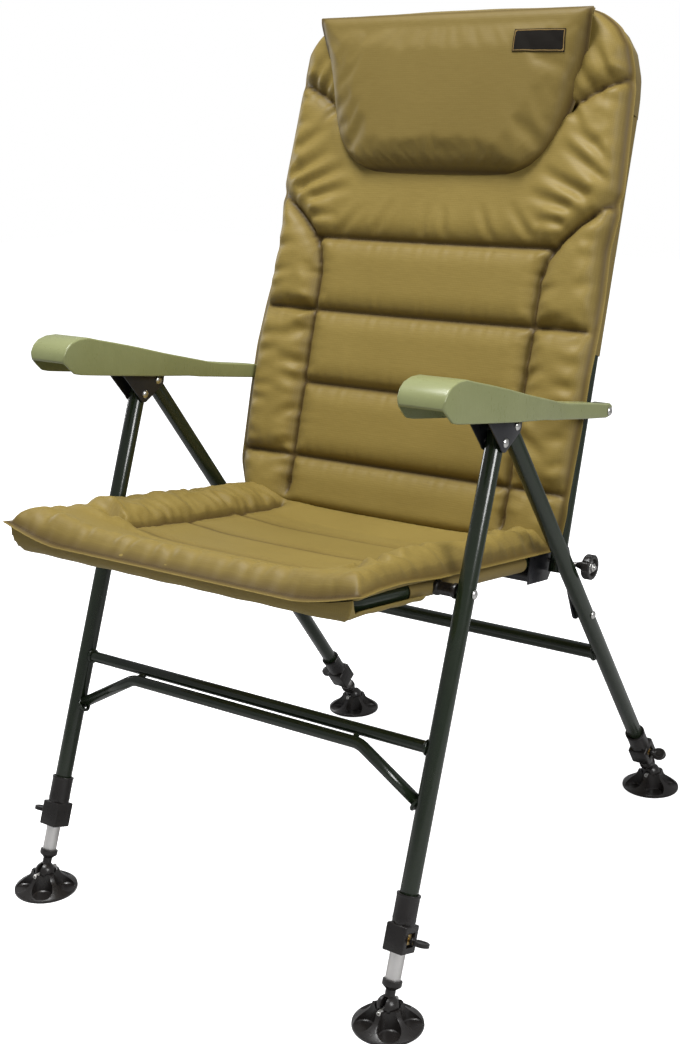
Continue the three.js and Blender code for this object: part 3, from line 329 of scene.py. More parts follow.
@dataclass(frozen=True)
class TubePaint:
    """Gloss stove enamel on steel tube, with a fine orange peel and faint dust."""

    name: str = "tube_paint"
    colour: Colour = (0.0085, 0.0165, 0.0065)
    dusted: Colour = (0.020, 0.026, 0.015)
    roughness: float = 0.20

    def material(self) -> bpy.types.Material:
        """Builds the paint."""
        s = Shader(self.name)
        where = s.place()
        dust = s.noise(where, 38.0, 5.0, 0.6).power(2.2)
        peel = s.noise(where, 420.0, 2.0)
        specks = s.noise(where, 1500.0, 1.0).power(6.0) * 3.0
        return s.finish(
            Base_Color=s.between((dust + specks).held(), self.colour, self.dusted),
            Roughness=dust * 0.16 + self.roughness,
            Normal=s.bump(peel, 0.00018, 0.4),
            Coat_Weight=dust * -0.2 + 0.3,
            Coat_Roughness=0.08,
            Specular_IOR_Level=0.45,
        )


@dataclass(frozen=True)
class Moulding:
    """Injection-moulded plastic with a fine spark-eroded grain and a scuffed sheen."""

    name: str
    colour: Colour
    worn: Colour
    roughness: float = 0.45
    grain: float = 0.00012
    coarse: float = 1400.0

    def material(self) -> bpy.types.Material:
        """Builds the plastic."""
        s = Shader(self.name)
        where = s.place()
        tone = s.noise(where, 22.0, 4.0, 0.6)
        grain = s.noise(where, self.coarse, 2.0)
        scuff = s.noise(s.place(0.0, (1.0, 4.0, 1.0)), 90.0, 6.0, 0.7).power(4.0)
        return s.finish(
            Base_Color=s.between((tone * 0.45 + scuff).held(), self.colour, self.worn),
            Roughness=tone * 0.14 - scuff * 0.5 + self.roughness,
            Normal=s.bump(grain, self.grain, 0.6),
            Specular_IOR_Level=0.5,
        )


@dataclass(frozen=True)
class Metal:
    """Bare metal with drawing or turning lines and slight tarnish."""

    name: str
    colour: Colour
    dull: Colour
    roughness: float = 0.28
    lines: float = 0.3
    turn: float = 0.0

    def material(self) -> bpy.types.Material:
        """Builds the metal."""
        s = Shader(self.name)
        where = s.place(self.turn, (1.0, 1.0, 0.02))
        streaks = s.noise(where, 900.0, 3.0)
        tarnish = s.noise(s.place(), 55.0, 4.0, 0.6)
        return s.finish(
            Base_Color=s.between((tarnish * 0.6 + streaks * 0.25).held(), self.colour, self.dull),
            Metallic=1.0,
            Roughness=streaks * self.lines * 0.35 + tarnish * 0.1 + self.roughness,
            Normal=s.bump(streaks, 0.00005, self.lines),
        )


@dataclass(frozen=True)
class PadCloth:
    """Coated polyester with a fine plain weave, a satin sheen, stitched seams and painted shade along the seams."""

    name: str
    colour: Colour = (0.186, 0.130, 0.029)
    light: Colour = (0.306, 0.229, 0.062)
    # The colour of the painted shade along seams and hems, and of the dark thread.
    deep: Colour = (0.062, 0.037, 0.008)
    tilt: float = 0.0
    stitched: bool = True
    thread_pitch: float = 0.00225917

    def material(self) -> bpy.types.Material:
        """Builds the cloth.

        Returns:
            A material whose weave follows the pad's plane, and whose stitches and painted seam shade follow the
            seam_gap and seam_run numbers kept on its points.
        """
        s = Shader(self.name)
        where = s.place(self.tilt)
        bands = WAVE_REPEAT / self.thread_pitch
        weave = s.waves(where, "X", bands, 0.3) * s.waves(where, "Z", bands, 0.3)
        slub = s.noise(s.place(self.tilt, (0.12, 1.0, 1.0)), 520.0, 3.0, 0.6)
        shade = s.noise(where, 7.0, 3.0, 0.5)
        fuzz = s.noise(where, 2100.0, 1.0)
        tone = (weave * 0.22 + slub * 0.5 + shade * 0.45 - 0.14).held()
        colour = s.between(tone, self.colour, self.light)
        height = weave * 0.3 + slub * 0.35 + fuzz * 0.35
        normal = s.bump(height, 0.00022, 0.55)
        if self.stitched:
            gap = s.attribute("seam_gap")
            run = s.attribute("seam_run")
            beat = s.maths("FRACT", run / 0.0042)
            thread = gap.below(0.0007) * beat.below(0.72)
            # Painted shade along the seams: the cloth darkens within 24 mm of a seam or hem, and much more within 5 mm.
            # This stands in for the shade in the seams' hollows. The thread itself is dark.
            seam_shade = (1 - gap / 0.0050).held()
            hollow = (1 - gap / 0.024).held()
            colour = s.between(hollow * hollow * 0.42, colour, self.deep)
            colour = s.between(seam_shade * 0.9, colour, self.deep)
            colour = s.between(thread * 0.6, colour, self.deep)
            normal = s.bump(thread, 0.0006, 0.6, normal)
        return s.finish(
            Base_Color=colour,
            Roughness=tone * 0.12 + 0.47,
            Normal=normal,
            Specular_IOR_Level=0.24,
            Sheen_Weight=0.11,
            Sheen_Roughness=0.4,
            Sheen_Tint=(0.80, 0.68, 0.36, 1.0),
        )


@dataclass(frozen=True)
class PatchCloth:
    """A tightly woven dark patch with a plain stitched border."""

    name: str = "patch_cloth"
    ground: Colour = (0.0085, 0.0070, 0.0055)
    border: Colour = (0.20, 0.13, 0.045)

    def material(self, tilt: float) -> bpy.types.Material:
        """Builds the patch cloth, with its border where the edge_gap number says."""
        s = Shader(self.name)
        where = s.place(tilt)
        ribs = s.waves(where, "Z", 380.0)
        gap = s.attribute("edge_gap")
        band = gap.below(0.0021) * (1 - gap.below(0.0009))
        colour = s.between(ribs * 0.4, self.ground, (0.017, 0.0145, 0.0115))
        return s.finish(
            Base_Color=s.between(band, colour, self.border),
            Roughness=ribs * 0.12 + 0.78,
            Normal=s.bump(ribs + band, 0.00025, 0.7),
            Specular_IOR_Level=0.12,
        )


class Finish(NamedTuple):
    """A material and the name of a slot."""

    material: bpy.types.Material
    slot: str


class Wardrobe:
    """Every finish on the chair, built once."""

    def __init__(self) -> None:
        """Builds the finishes."""
        lean = -PLAN.back_lean
        sage = ((0.205, 0.224, 0.090), (0.330, 0.345, 0.175), 0.28)
        satin_black = ((0.0085, 0.0072, 0.0066), (0.0270, 0.0238, 0.0222), 0.27)
        enamel_black = ((0.010, 0.010, 0.012), (0.03, 0.03, 0.034), 0.30, 0.0001, 700.0)
        # The slings' cloth is the pads' olive, made darker. The darkness is painted shade on the slings and on the
        # back's pocket.
        sling = {"colour": (0.165, 0.118, 0.034), "light": (0.225, 0.168, 0.060), "stitched": False}
        # The headrest's cloth is a darker copy of the pads' cloth. The darkness is painted shade on the headrest and
        # its flap.
        head = {"colour": (0.156, 0.110, 0.026), "light": (0.226, 0.166, 0.046)}
        self.paint = Finish(TubePaint().material(), "dark_green_tube")
        self.arm = self.made(Moulding("arm_plastic", *sage), "green_plastic")
        self.black = self.made(Moulding("black_plastic", *satin_black), "black_plastic")
        self.black_steel = self.made(Moulding("black_steel", *enamel_black), "black_steel")
        self.aluminium = self.made(
            Metal("satin_aluminium", (0.86, 0.84, 0.82), (0.66, 0.65, 0.64), 0.26, 0.5), "satin_aluminium"
        )
        self.steel = self.made(Metal("bright_steel", (0.78, 0.77, 0.74), (0.52, 0.51, 0.49), 0.18), "bright_steel")
        self.brass = self.made(Metal("brass", (0.76, 0.56, 0.24), (0.50, 0.36, 0.15), 0.24), "bright_steel")
        self.seat_cloth = self.made(PadCloth("seat_cloth", tilt=math.pi / 2 + PLAN.seat_slope), "olive_cloth")
        self.back_cloth = self.made(PadCloth("back_cloth", tilt=lean), "olive_cloth")
        self.head_cloth = self.made(PadCloth("headrest_cloth", tilt=lean, **head), "olive_cloth")
        self.sling_seat = self.made(PadCloth("sling_cloth_seat", tilt=math.pi / 2, **sling), "sling_cloth")
        self.sling_back = self.made(PadCloth("sling_cloth_back", tilt=lean, **sling), "sling_cloth")
        self.patch = Finish(PatchCloth().material(lean), "label_cloth")

    @staticmethod
    def made(recipe: Moulding | Metal | PadCloth, slot: str) -> Finish:
        """The finish that a recipe makes."""
        return Finish(recipe.material(), slot)


# Modelling moves


class Bench:
    """Modelling moves that the sub-assemblies share."""

    @staticmethod
    def clear() -> None:
        """Deselects everything, in object mode."""
        if bpy.context.object and bpy.context.object.mode != "OBJECT":
            bpy.ops.object.mode_set(mode="OBJECT")
        bpy.ops.object.select_all(action="DESELECT")

    @staticmethod
    def pick(piece: bpy.types.Object, *others: bpy.types.Object) -> None:
        """Selects pieces and makes the first active."""
        Bench.clear()
        for one in (piece, *others):
            one.select_set(True)
        bpy.context.view_layer.objects.active = piece

    @staticmethod
    def rename(piece: bpy.types.Object, name: str) -> bpy.types.Object:
        """Names a piece and its mesh."""
        piece.name = name
        piece.data.name = name
        return piece

    @staticmethod
    def settle(piece: bpy.types.Object, name: str) -> bpy.types.Object:
        """Names a piece and moves its place into its mesh."""
        Bench.pick(piece)
        bpy.ops.object.transform_apply(location=True, rotation=True, scale=True)
        return Bench.rename(piece, name)

    @staticmethod
    def open_faces() -> None:
        """Enters edit mode with every face selected."""
        bpy.ops.object.mode_set(mode="EDIT")
        bpy.ops.mesh.select_mode(type="FACE")
        bpy.ops.mesh.select_all(action="SELECT")

    @staticmethod
    def extrude(move: Vector | tuple[float, float, float]) -> None:
        """Extrudes the selected faces."""
        bpy.ops.mesh.extrude_region_move(TRANSFORM_OT_translate={"value": move})

    @staticmethod
    def close_faces() -> None:
        """Turns every face outwards and leaves edit mode."""
        bpy.ops.mesh.select_all(action="SELECT")
        bpy.ops.mesh.normals_make_consistent(inside=False)
        bpy.ops.object.mode_set(mode="OBJECT")

    @staticmethod
    def grid(columns: int, rows: int) -> tuple[bpy.types.Object, np.ndarray]:
        """A flat grid, with its points from -1 to 1 each way."""
        Bench.clear()
        bpy.ops.mesh.primitive_grid_add(x_subdivisions=columns, y_subdivisions=rows, size=2.0)
        piece = bpy.context.object
        return piece, np.array([v.co for v in piece.data.vertices])

    @staticmethod
    def thicken(
        piece: bpy.types.Object, name: str, thickness: float, offset: float = 0.0, angle: float = 60.0
    ) -> bpy.types.Object:
        """Names a sheet, gives it its thickness and smooths it."""
        Bench.rename(piece, name)
        Bench.apply(piece, "SOLIDIFY", thickness=thickness, offset=offset)
        Bench.outward(piece)
        return Bench.smooth(piece, angle)

    @staticmethod
    def apply(piece: bpy.types.Object, kind: str, **settings: object) -> None:
        """Adds a modifier and applies it."""
        Bench.pick(piece)
        made = piece.modifiers.new(kind.title(), kind)
        for key, value in settings.items():
            setattr(made, key, value)
        bpy.ops.object.modifier_apply(modifier=made.name)

    @staticmethod
    def smooth(piece: bpy.types.Object, angle: float = 35.0, bevel: float = 0.0, segments: int = 2) -> bpy.types.Object:
        """Rounds the edges sharper than an angle and shades the rest smooth."""
        if bevel:
            Bench.apply(
                piece, "BEVEL", width=bevel, segments=segments, limit_method="ANGLE",
                angle_limit=math.radians(angle), use_clamp_overlap=True,
            )
        Bench.pick(piece)
        bpy.ops.object.shade_smooth_by_angle(angle=math.radians(angle))
        return piece

    @staticmethod
    def outward(piece: bpy.types.Object) -> None:
        """Merges doubled points and turns the faces outwards."""
        Bench.pick(piece)
        bpy.ops.object.mode_set(mode="EDIT")
        bpy.ops.mesh.select_all(action="SELECT")
        bpy.ops.mesh.remove_doubles(threshold=1e-6)
        bpy.ops.mesh.normals_make_consistent(inside=False)
        bpy.ops.object.mode_set(mode="OBJECT")

    @staticmethod
    def turned(
        name: str, profile: Profile, origin: Vector, axis: Vector, sides: int = 40, bevel: float = 0.0
    ) -> bpy.types.Object:
        """A turned shape, extruded and scaled ring by ring from a disc.

        Args:
            name: The piece's name.
            profile: Pairs of radius and distance along the axis, in metres.
            origin: Where distance 0 is.
            axis: The unit direction of the axis.
            sides: How many sides a ring has.
            bevel: Width of the rounding on sharp edges.

        Returns:
            The piece, with its place in its mesh.
        """
        Bench.clear()
        tilt = Vector((0, 0, 1)).rotation_difference(axis).to_euler()
        first, start = profile[0]
        bpy.ops.mesh.primitive_circle_add(
            vertices=sides, radius=first, fill_type="NGON", location=origin + axis * start, rotation=tilt
        )
        piece = bpy.context.object
        Bench.open_faces()
        for (old, before), (new, after) in zip(profile, profile[1:]):
            Bench.extrude(axis * (after - before))
            if abs(new - old) > 1e-9:
                scale = new / old
                bpy.ops.transform.resize(value=(scale, scale, scale), center_override=origin + axis * after)
        Bench.close_faces()
        Bench.settle(piece, name)
        return Bench.smooth(piece, 32.0, bevel)

    @staticmethod
    def rod(
        name: str, radius: float, length: float, origin: Vector, axis: Vector, sides: int
    ) -> bpy.types.Object:
        """A plain cylinder, mostly to cut a hole with."""
        return Bench.turned(name, [(radius, 0.0), (radius, length)], origin, axis, sides)

    @staticmethod
    def tube(name: str, stops: Sequence[Vector], radius: float, sides: int = 8) -> bpy.types.Object:
        """A round bar through a row of points, capped at its ends.

        Args:
            name: The piece's name.
            stops: Points of its centre line, close together on the bends.
            radius: The outer radius.
            sides: A quarter of the sides of its section.

        Returns:
            The piece as a mesh.
        """
        Bench.clear()
        line = bpy.data.curves.new(name, "CURVE")
        line.dimensions = "3D"
        spline = line.splines.new("POLY")
        spline.points.add(len(stops) - 1)
        for spot, stop in zip(spline.points, stops):
            spot.co = (*stop, 1.0)
        line.bevel_depth = radius
        line.bevel_resolution = sides
        line.use_fill_caps = True
        piece = bpy.data.objects.new(name, line)
        bpy.context.collection.objects.link(piece)
        Bench.pick(piece)
        bpy.ops.object.convert(target="MESH")
        piece = bpy.context.object
        Bench.outward(piece)
        return Bench.smooth(piece, 40.0)

    @staticmethod
    def bend(corners: Sequence[Vector], radius: float, steps: int = 12) -> list[Vector]:
        """Points along straight runs whose corners are rounded."""
        stops = [corners[0]]
        for before, corner, after in zip(corners, corners[1:], corners[2:]):
            back, on = toward(corner, before), toward(corner, after)
            half = back.angle(on) / 2
            centre = corner + (back + on).normalized() * (radius / math.sin(half))
            spoke = corner + back * (radius / math.tan(half)) - centre
            normal = back.cross(on).normalized()
            for k in range(steps + 1):
                turn = Matrix.Rotation(-(math.pi - 2 * half) * k / steps, 3, normal)
                stops.append(centre + turn @ spoke)
        return [*stops, corners[-1]]

    @staticmethod
    def plate(
        name: str, outline: Sequence[Vector], x0: float, x1: float, bevel: float = 0.0, segments: int = 2
    ) -> bpy.types.Object:
        """A flat plate with a side-view outline, extruded along X and bevelled."""
        Bench.clear()
        bpy.ops.mesh.primitive_circle_add(vertices=len(outline), radius=0.01, fill_type="NGON")
        piece = bpy.context.object
        for vertex, spot in zip(piece.data.vertices, outline):
            vertex.co = (x0, spot.y, spot.z)
        Bench.open_faces()
        Bench.extrude(X * (x1 - x0))
        Bench.close_faces()
        Bench.settle(piece, name)
        return Bench.smooth(piece, 30.0, bevel, segments)

    @staticmethod
    def block(
        name: str, centre: Vector, size: tuple[float, float, float], up: Vector, bevel: float = 0.0
    ) -> bpy.types.Object:
        """A block whose height runs along a side-view direction, with rounded edges."""
        Bench.clear()
        bpy.ops.mesh.primitive_cube_add(size=1.0)
        piece = bpy.context.object
        turn = Matrix((X, -up.cross(X).normalized(), up)).transposed().to_4x4()
        piece.matrix_world = Matrix.Translation(centre) @ turn @ Matrix.Diagonal((*size, 1.0))
        Bench.settle(piece, name)
        Bench.outward(piece)
        return Bench.smooth(piece, 30.0, bevel, 3)

    @staticmethod
    def carve(piece: bpy.types.Object, *tools: bpy.types.Object) -> bpy.types.Object:
        """Cuts tools out of a piece and deletes them."""
        for tool in tools:
            Bench.apply(piece, "BOOLEAN", operation="DIFFERENCE", solver="EXACT", object=tool)
            bpy.data.objects.remove(tool)
        return piece

    @staticmethod
    def joined(name: str, *parts: bpy.types.Object) -> bpy.types.Object:
        """Makes several meshes one piece."""
        Bench.pick(*parts)
        bpy.ops.object.join()
        return Bench.rename(bpy.context.object, name)


def dress(piece: bpy.types.Object, finish: Finish, body: str, *nodes: str) -> bpy.types.Object:
    """Gives a piece its finish and its body, and puts it in the place of CAD nodes.

    Args:
        piece: The finished mesh.
        finish: What it is made of.
        body: The CAD body that it moves with.
        nodes: The CAD nodes that it stands for.

    Returns:
        The same piece.
    """
    piece.data.materials.clear()
    piece.data.materials.append(finish.material)
    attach(piece, body)
    if nodes:
        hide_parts(*nodes)
    log.info("%s rides %s", piece.name, body)
    return piece


# Sub-assemblies


@dataclass
class TubeFrame:
    """The legs, crossbars and the bent tubes of seat and back."""

    wardrobe: Wardrobe
    leg_radius: float = 0.0105
    leg_wall: float = 0.0014
    leg_depth: float = 0.03
    leg_start: dict = field(default_factory=lambda: {End.FRONT: 0.094, End.REAR: 0.078})
    stub: float = 0.011
    rail_radius: float = 0.010
    bar_radius: float = 0.007
    rear_bar_radius: float = 0.0095
    bar_sunk_share: float = 0.55
    lower_bend_x: float = 0.172
    lower_bend_radius: float = 0.030
    inner_leg_bore: float = 0.0093
    tab_radius: float = 0.0035
    weld: float = 0.0022
    weld_gap: float = 0.0004

    def build(self) -> None:
        """Builds every tube."""
        for side in Side:
            self.leg(side, End.FRONT, PLAN.arm_pivot, "front_frame")
            self.leg(side, End.REAR, PLAN.rear_pivot, "rear_frame")
        self.crossbars()
        front = PLAN.seat_pivot - PLAN.seat_rearward * 0.179
        tail = PLAN.hinge + PLAN.seat_rearward * 0.013
        self.hoop("seat_tube", tail, front, PLAN.rail_x, 0.042, "seat_frame")
        low = PLAN.hinge - PLAN.back_up * 0.014
        top = PLAN.hinge + PLAN.back_up * 0.640
        self.hoop("back_tube", low, top, PLAN.stile_x, 0.070, "back_frame")

    def leg(self, side: Side, end: End, pivot: Vector, body: str) -> None:
        """One leg, with a bore at its open top end."""
        up = PLAN.up(end)
        x = X * side.value * PLAN.leg_x
        low = PLAN.ball(end) + up * self.leg_start[end] + x
        length = (pivot + up * self.stub + x - low).dot(up)
        outer, bore = self.leg_radius, self.leg_radius - self.leg_wall
        profile = [(outer, 0.0), (outer, length), (bore, length), (bore, length - self.leg_depth)]
        tube = Bench.turned(f"{end.value}_leg_tube_{side.word}", profile, low, up, 44, 0.0004)
        dress(tube, self.wardrobe.paint, body, f"{end.value}_leg_{side.word}")

    def hoop(self, name: str, start: Vector, far: Vector, half: float, bend: float, body: str) -> None:
        """A tube bent to a U: a rail on each side and a bar across their far ends."""
        x = X * half
        stops = Bench.bend([start - x, far - x, far + x, start + x], bend)
        dress(Bench.tube(name, stops, self.rail_radius), self.wardrobe.paint, body, f"{body}_tube")

    def bead(self, centre: Vector, axis: Vector, radius: float) -> bpy.types.Object:
        """A weld bead round the end of a bar."""
        Bench.clear()
        tilt = Vector((0, 0, 1)).rotation_difference(axis).to_euler()
        bpy.ops.mesh.primitive_torus_add(
            location=centre, rotation=tilt, major_segments=40, minor_segments=10,
            major_radius=radius, minor_radius=self.weld,
        )
        piece = Bench.settle(bpy.context.object, "weld")
        Bench.apply(piece, "DISPLACE", strength=0.0012, mid_level=0.5, texture=self.ripple())
        return Bench.smooth(piece, 80.0)

    @staticmethod
    def ripple() -> bpy.types.Texture:
        """The scale pattern of a weld bead."""
        texture = bpy.data.textures.get("weld_ripple") or bpy.data.textures.new("weld_ripple", "CLOUDS")
        texture.noise_scale = 0.004
        return texture

    @property
    def reach(self) -> Vector:
        """From a crossbar's middle to its end inside the leg's wall."""
        return X * (PLAN.leg_x - self.leg_radius * self.bar_sunk_share)

    @property
    def weld_x(self) -> Vector:
        """From a crossbar's middle to its weld."""
        return X * (PLAN.leg_x - self.leg_radius - self.weld_gap)

    def straight_bar(self, name: str, middle: Vector, radius: float, swell: float, body: str, node: str) -> None:
        """A straight crossbar with a weld bead at each leg."""
        parts = [Bench.tube(name, [middle - self.reach, middle + self.reach], radius)]
        parts += [self.bead(middle + self.weld_x * side, X, radius + swell) for side in (-1, 1)]
        dress(Bench.joined(name, *parts), self.wardrobe.paint, body, node)

    def crossbars(self) -> None:
        """The upper and lower front bars with the tabs between them, and the rear bar."""
        up, paint = PLAN.front_up, self.wardrobe.paint
        upper = PLAN.arm_pivot - up * 0.3457
        lower = PLAN.arm_pivot - up * 0.4095
        run = lower + up * 0.0495 + turned_across(up) * 0.0095
        self.straight_bar("front_bar_upper", upper, self.bar_radius, 0.0004, "front_frame", "front_crossbar_upper")
        bend = X * self.lower_bend_x
        corners = [lower - self.reach, run - bend, run + bend, lower + self.reach]
        stops = Bench.bend(corners, self.lower_bend_radius)
        parts = [Bench.tube("front_bar_lower", stops, self.bar_radius)]
        for side in (-1, 1):
            slant = toward(lower + self.reach * side, run + bend * side)
            parts.append(self.bead(lower + self.weld_x * side + slant * 0.001, slant, self.bar_radius + 0.0004))
        for part in parts:
            for side in (-1, 1):
                foot = lower - up * 0.04 + X * side * PLAN.leg_x
                Bench.carve(part, Bench.rod("leg_bore", self.inner_leg_bore, 0.08, foot, up, 40))
        dress(Bench.joined("front_bar_lower", *parts), paint, "front_frame", "front_crossbar_lower")
        for side in Side:
            ends = [run + X * side.value * 0.166 + up * 0.003, upper + X * side.value * 0.160 - up * 0.003]
            dress(Bench.tube(f"weld_tab_{side.word}", ends, self.tab_radius, 4), paint, "front_frame")
        rear = PLAN.rear_pivot - PLAN.rear_up * 0.454
        self.straight_bar("rear_bar", rear, self.rear_bar_radius, 0.0002, "rear_frame", "rear_crossbar")


@dataclass
class Fastenings:
    """Rivets, spacers, stays, hinge plates, brackets and the recline knobs."""

    wardrobe: Wardrobe
    head: float = 0.0054
    dome: float = 0.0027
    shank: float = 0.0029
    fit: float = 0.0003
    leg_radius: float = 0.0105
    rail_face: float = 0.0103
    cheek_gap: float = 0.0008
    cheek: float = 0.002
    strap_half: float = 0.011
    strap_thick: float = 0.003
    slot_half: float = 0.0034
    flutes: int = 10

    def build(self) -> None:
        """Builds every fastening on both sides."""
        leg = PLAN.leg_x
        face = leg + self.leg_radius + self.fit
        cheek = leg + self.leg_radius + self.cheek_gap + self.cheek + self.fit
        rivets = (
            ("front_rivet", PLAN.arm_pivot, leg - cheek + leg, cheek, "arms", "front_leg_rivet"),
            ("rear_rivet", PLAN.rear_pivot, leg - cheek + leg, cheek, "arms", "rear_leg_rivet"),
            ("seat_rivet", PLAN.seat_pivot, PLAN.rail_x - self.rail_face, face, "front_frame", "seat_pivot_rivet"),
            ("strap_rivet", PLAN.stay_pivot, leg - 0.0064, face, "rear_frame", "stay_rivet"),
            ("tail_rivet", PLAN.tail_pivot, 0.2527, leg + 0.0124 + self.fit, "arms", "arm_tail_rivet"),
        )
        for side in Side:
            for rivet in rivets:
                self.rivet(side, *rivet)
            self.spacer(side)
            self.strap(side)
            self.knob(side)
            self.bracket(side)
        self.hinge_bar()

    def rivet(self, side: Side, name: str, spot: Vector, inner: float, outer: float, body: str, node: str) -> None:
        """A rivet with a washer and a domed head at each end."""
        length = outer - inner
        h, d = self.head, self.dome
        half = [(0.0006, d), (h * 0.55, d * 0.85), (h * 0.86, d * 0.5), (h, 0.0004), (h, 0.0), (self.shank, -0.0001)]
        profile = [(r, -z) for r, z in half] + [(r, length + z) for r, z in reversed(half)]
        start = spot + X * side.value * inner
        piece = Bench.turned(f"{name}_{side.word}", profile, start, X * side.value, 28)
        dress(piece, self.wardrobe.steel, body, f"{node}_{side.word}")

    def spacer(self, side: Side) -> None:
        """The collar between the seat rail and the front leg, with a moulded flange at each end."""
        start, end = PLAN.rail_x + self.rail_face, PLAN.leg_x - self.leg_radius - self.fit
        n = end - start
        half = [(0.0040, 0.0), (0.0090, 0.0), (0.0090, 0.004), (0.0076, 0.0055)]
        profile = half + [(r, n - z) for r, z in reversed(half)]
        spot = PLAN.seat_pivot + X * side.value * start
        piece = Bench.turned(f"spacer_{side.word}", profile, spot, X * side.value, 32, 0.0004)
        dress(piece, self.wardrobe.black, "front_frame", f"seat_pivot_spacer_{side.word}")

    @staticmethod
    def ring(centre: Vector, radius: float, start: float, sweep: float, count: int) -> list[Vector]:
        """Points of an arc in side view."""
        angles = [start + sweep * k / (count - 1) for k in range(count)]
        return [centre + Vector((0, math.cos(a), math.sin(a))) * radius for a in angles]

    def strap(self, side: Side) -> None:
        """The slotted stay from the knob's bolt down to the rear leg."""
        up = toward(PLAN.stay_pivot, PLAN.hinge)
        aim = math.atan2(up.z, up.y)
        head = PLAN.hinge + up * 0.014
        foot = PLAN.stay_pivot + up * 0.002

        def lozenge(top: Vector, low: Vector, radius: float, count: int) -> list[Vector]:
            """A long outline with round ends."""
            over = self.ring(top, radius, aim - math.pi / 2, math.pi, count)
            return over + self.ring(low, radius, aim + math.pi / 2, math.pi, count)

        outer = PLAN.leg_x - self.leg_radius - 0.0006
        s = side.value
        outline = lozenge(head, foot, self.strap_half, 14)
        piece = Bench.plate(f"strap_{side.word}", outline, s * (outer - self.strap_thick), s * outer, 0.0005)
        slot = lozenge(head, PLAN.hinge, self.slot_half, 10)
        Bench.carve(piece, Bench.plate("slot", slot, s * (outer - 0.02), s * (outer + 0.02)))
        dress(Bench.smooth(piece, 30.0), self.wardrobe.black_steel, f"stay_{side.word}", f"stay_{side.word}")

    def knob(self, side: Side) -> None:
        """The recline knob, fluted round its rim, with a bright washer and bolt end in its cup."""
        s, w = side.value, side.word
        body, axis = f"recline_knob_{w}", X * s
        base = PLAN.leg_x + 0.0015
        face = PLAN.leg_x + self.leg_radius + 0.0033 - base
        profile = [
            (0.0031, 0.0), (0.0042, 0.0035), (0.0057, 0.0080), (0.0057, face), (0.0146, face),
            (0.0160, face + 0.0014), (0.0160, face + 0.0097), (0.0150, face + 0.0107),
            (0.0110, face + 0.0107), (0.0104, face + 0.0067),
        ]
        grip = Bench.turned(f"knob_grip_{w}", profile, PLAN.hinge + axis * base, axis, 60, 0.0004)
        cuts = []
        for k in range(self.flutes):
            angle = 2 * math.pi * k / self.flutes
            spot = PLAN.hinge + Vector((0, math.cos(angle), math.sin(angle))) * 0.0178
            cuts.append(Bench.rod("flute", 0.0028, 0.03, spot + axis * (base + face - 0.003), axis, 16))
        Bench.carve(grip, *cuts)
        dress(Bench.smooth(grip, 32.0), self.wardrobe.black, body, body)
        top = face + 0.0067
        profile = [
            (0.0088, top), (0.0088, top + 0.0012), (0.0060, top + 0.0016), (0.0056, top + 0.0046),
            (0.0036, top + 0.0052),
        ]
        washer = Bench.turned(f"knob_washer_{w}", profile, PLAN.hinge + axis * base, axis, 6, 0.0004)
        dress(washer, self.wardrobe.steel, body)
        nut = 0.2216
        tip = base + top - nut
        profile = [(0.0030, 0.0), (0.0030, tip + 0.0062), (0.0024, tip + 0.0070)]
        stud = Bench.turned(f"knob_stud_{w}", profile, PLAN.hinge + axis * nut, axis, 24)
        dress(stud, self.wardrobe.steel, body)

    def hinge_bar(self) -> None:
        """The seat's rear bar and its end plates."""
        inner = PLAN.rail_x + self.rail_face
        back, up = PLAN.seat_rearward, PLAN.seat_up
        low = PLAN.hinge - back * 0.034 - up * 0.0183
        parts = [Bench.tube("rear_rail", [low - X * (inner + 0.001), low + X * (inner + 0.001)], 0.008)]
        rear, front = PLAN.hinge + back * 0.011, PLAN.hinge + back * (0.011 - 0.064)
        outline = [
            front - up * 0.026, PLAN.hinge - up * 0.026, rear - up * 0.010, rear + up * 0.010,
            PLAN.hinge + up * 0.012, front + up * 0.012,
        ]
        for side in (-1, 1):
            parts.append(Bench.plate("hinge_plate", outline, side * inner, side * (inner + 0.0025), 0.0006))
        bar = Bench.joined("seat_rear_bar", *parts)
        dress(bar, self.wardrobe.black_steel, "seat_frame", "seat_hinge_bar")

    def bracket(self, side: Side) -> None:
        """The folded steel channel under the arm."""
        x = side.value * PLAN.leg_x
        outline = [at(-172.5, 668), at(-175, 656), at(-171, 645)]
        outline += self.ring(PLAN.arm_pivot, 0.011, math.radians(200), math.radians(75), 8)
        outline += self.ring(PLAN.rear_pivot, 0.011, math.radians(285), math.radians(70), 8)
        outline += [at(-92, 648), at(-95, 655), at(-130, 663)]
        low, high = self.leg_radius + self.cheek_gap, self.leg_radius + self.cheek_gap + self.cheek
        web = [at(-172.5, 668), at(-130, 663), at(-95, 655), at(-95, 653), at(-130, 661), at(-172.5, 666)]
        parts = [
            Bench.plate("cheek", outline, x - high, x - low, 0.0007),
            Bench.plate("cheek", outline, x + low, x + high, 0.0007),
            Bench.plate("web", web, x - high, x + high, 0.0005),
        ]
        piece = Bench.joined(f"bracket_{side.word}", *parts)
        dress(piece, self.wardrobe.black_steel, "arms", f"arm_bracket_{side.word}")


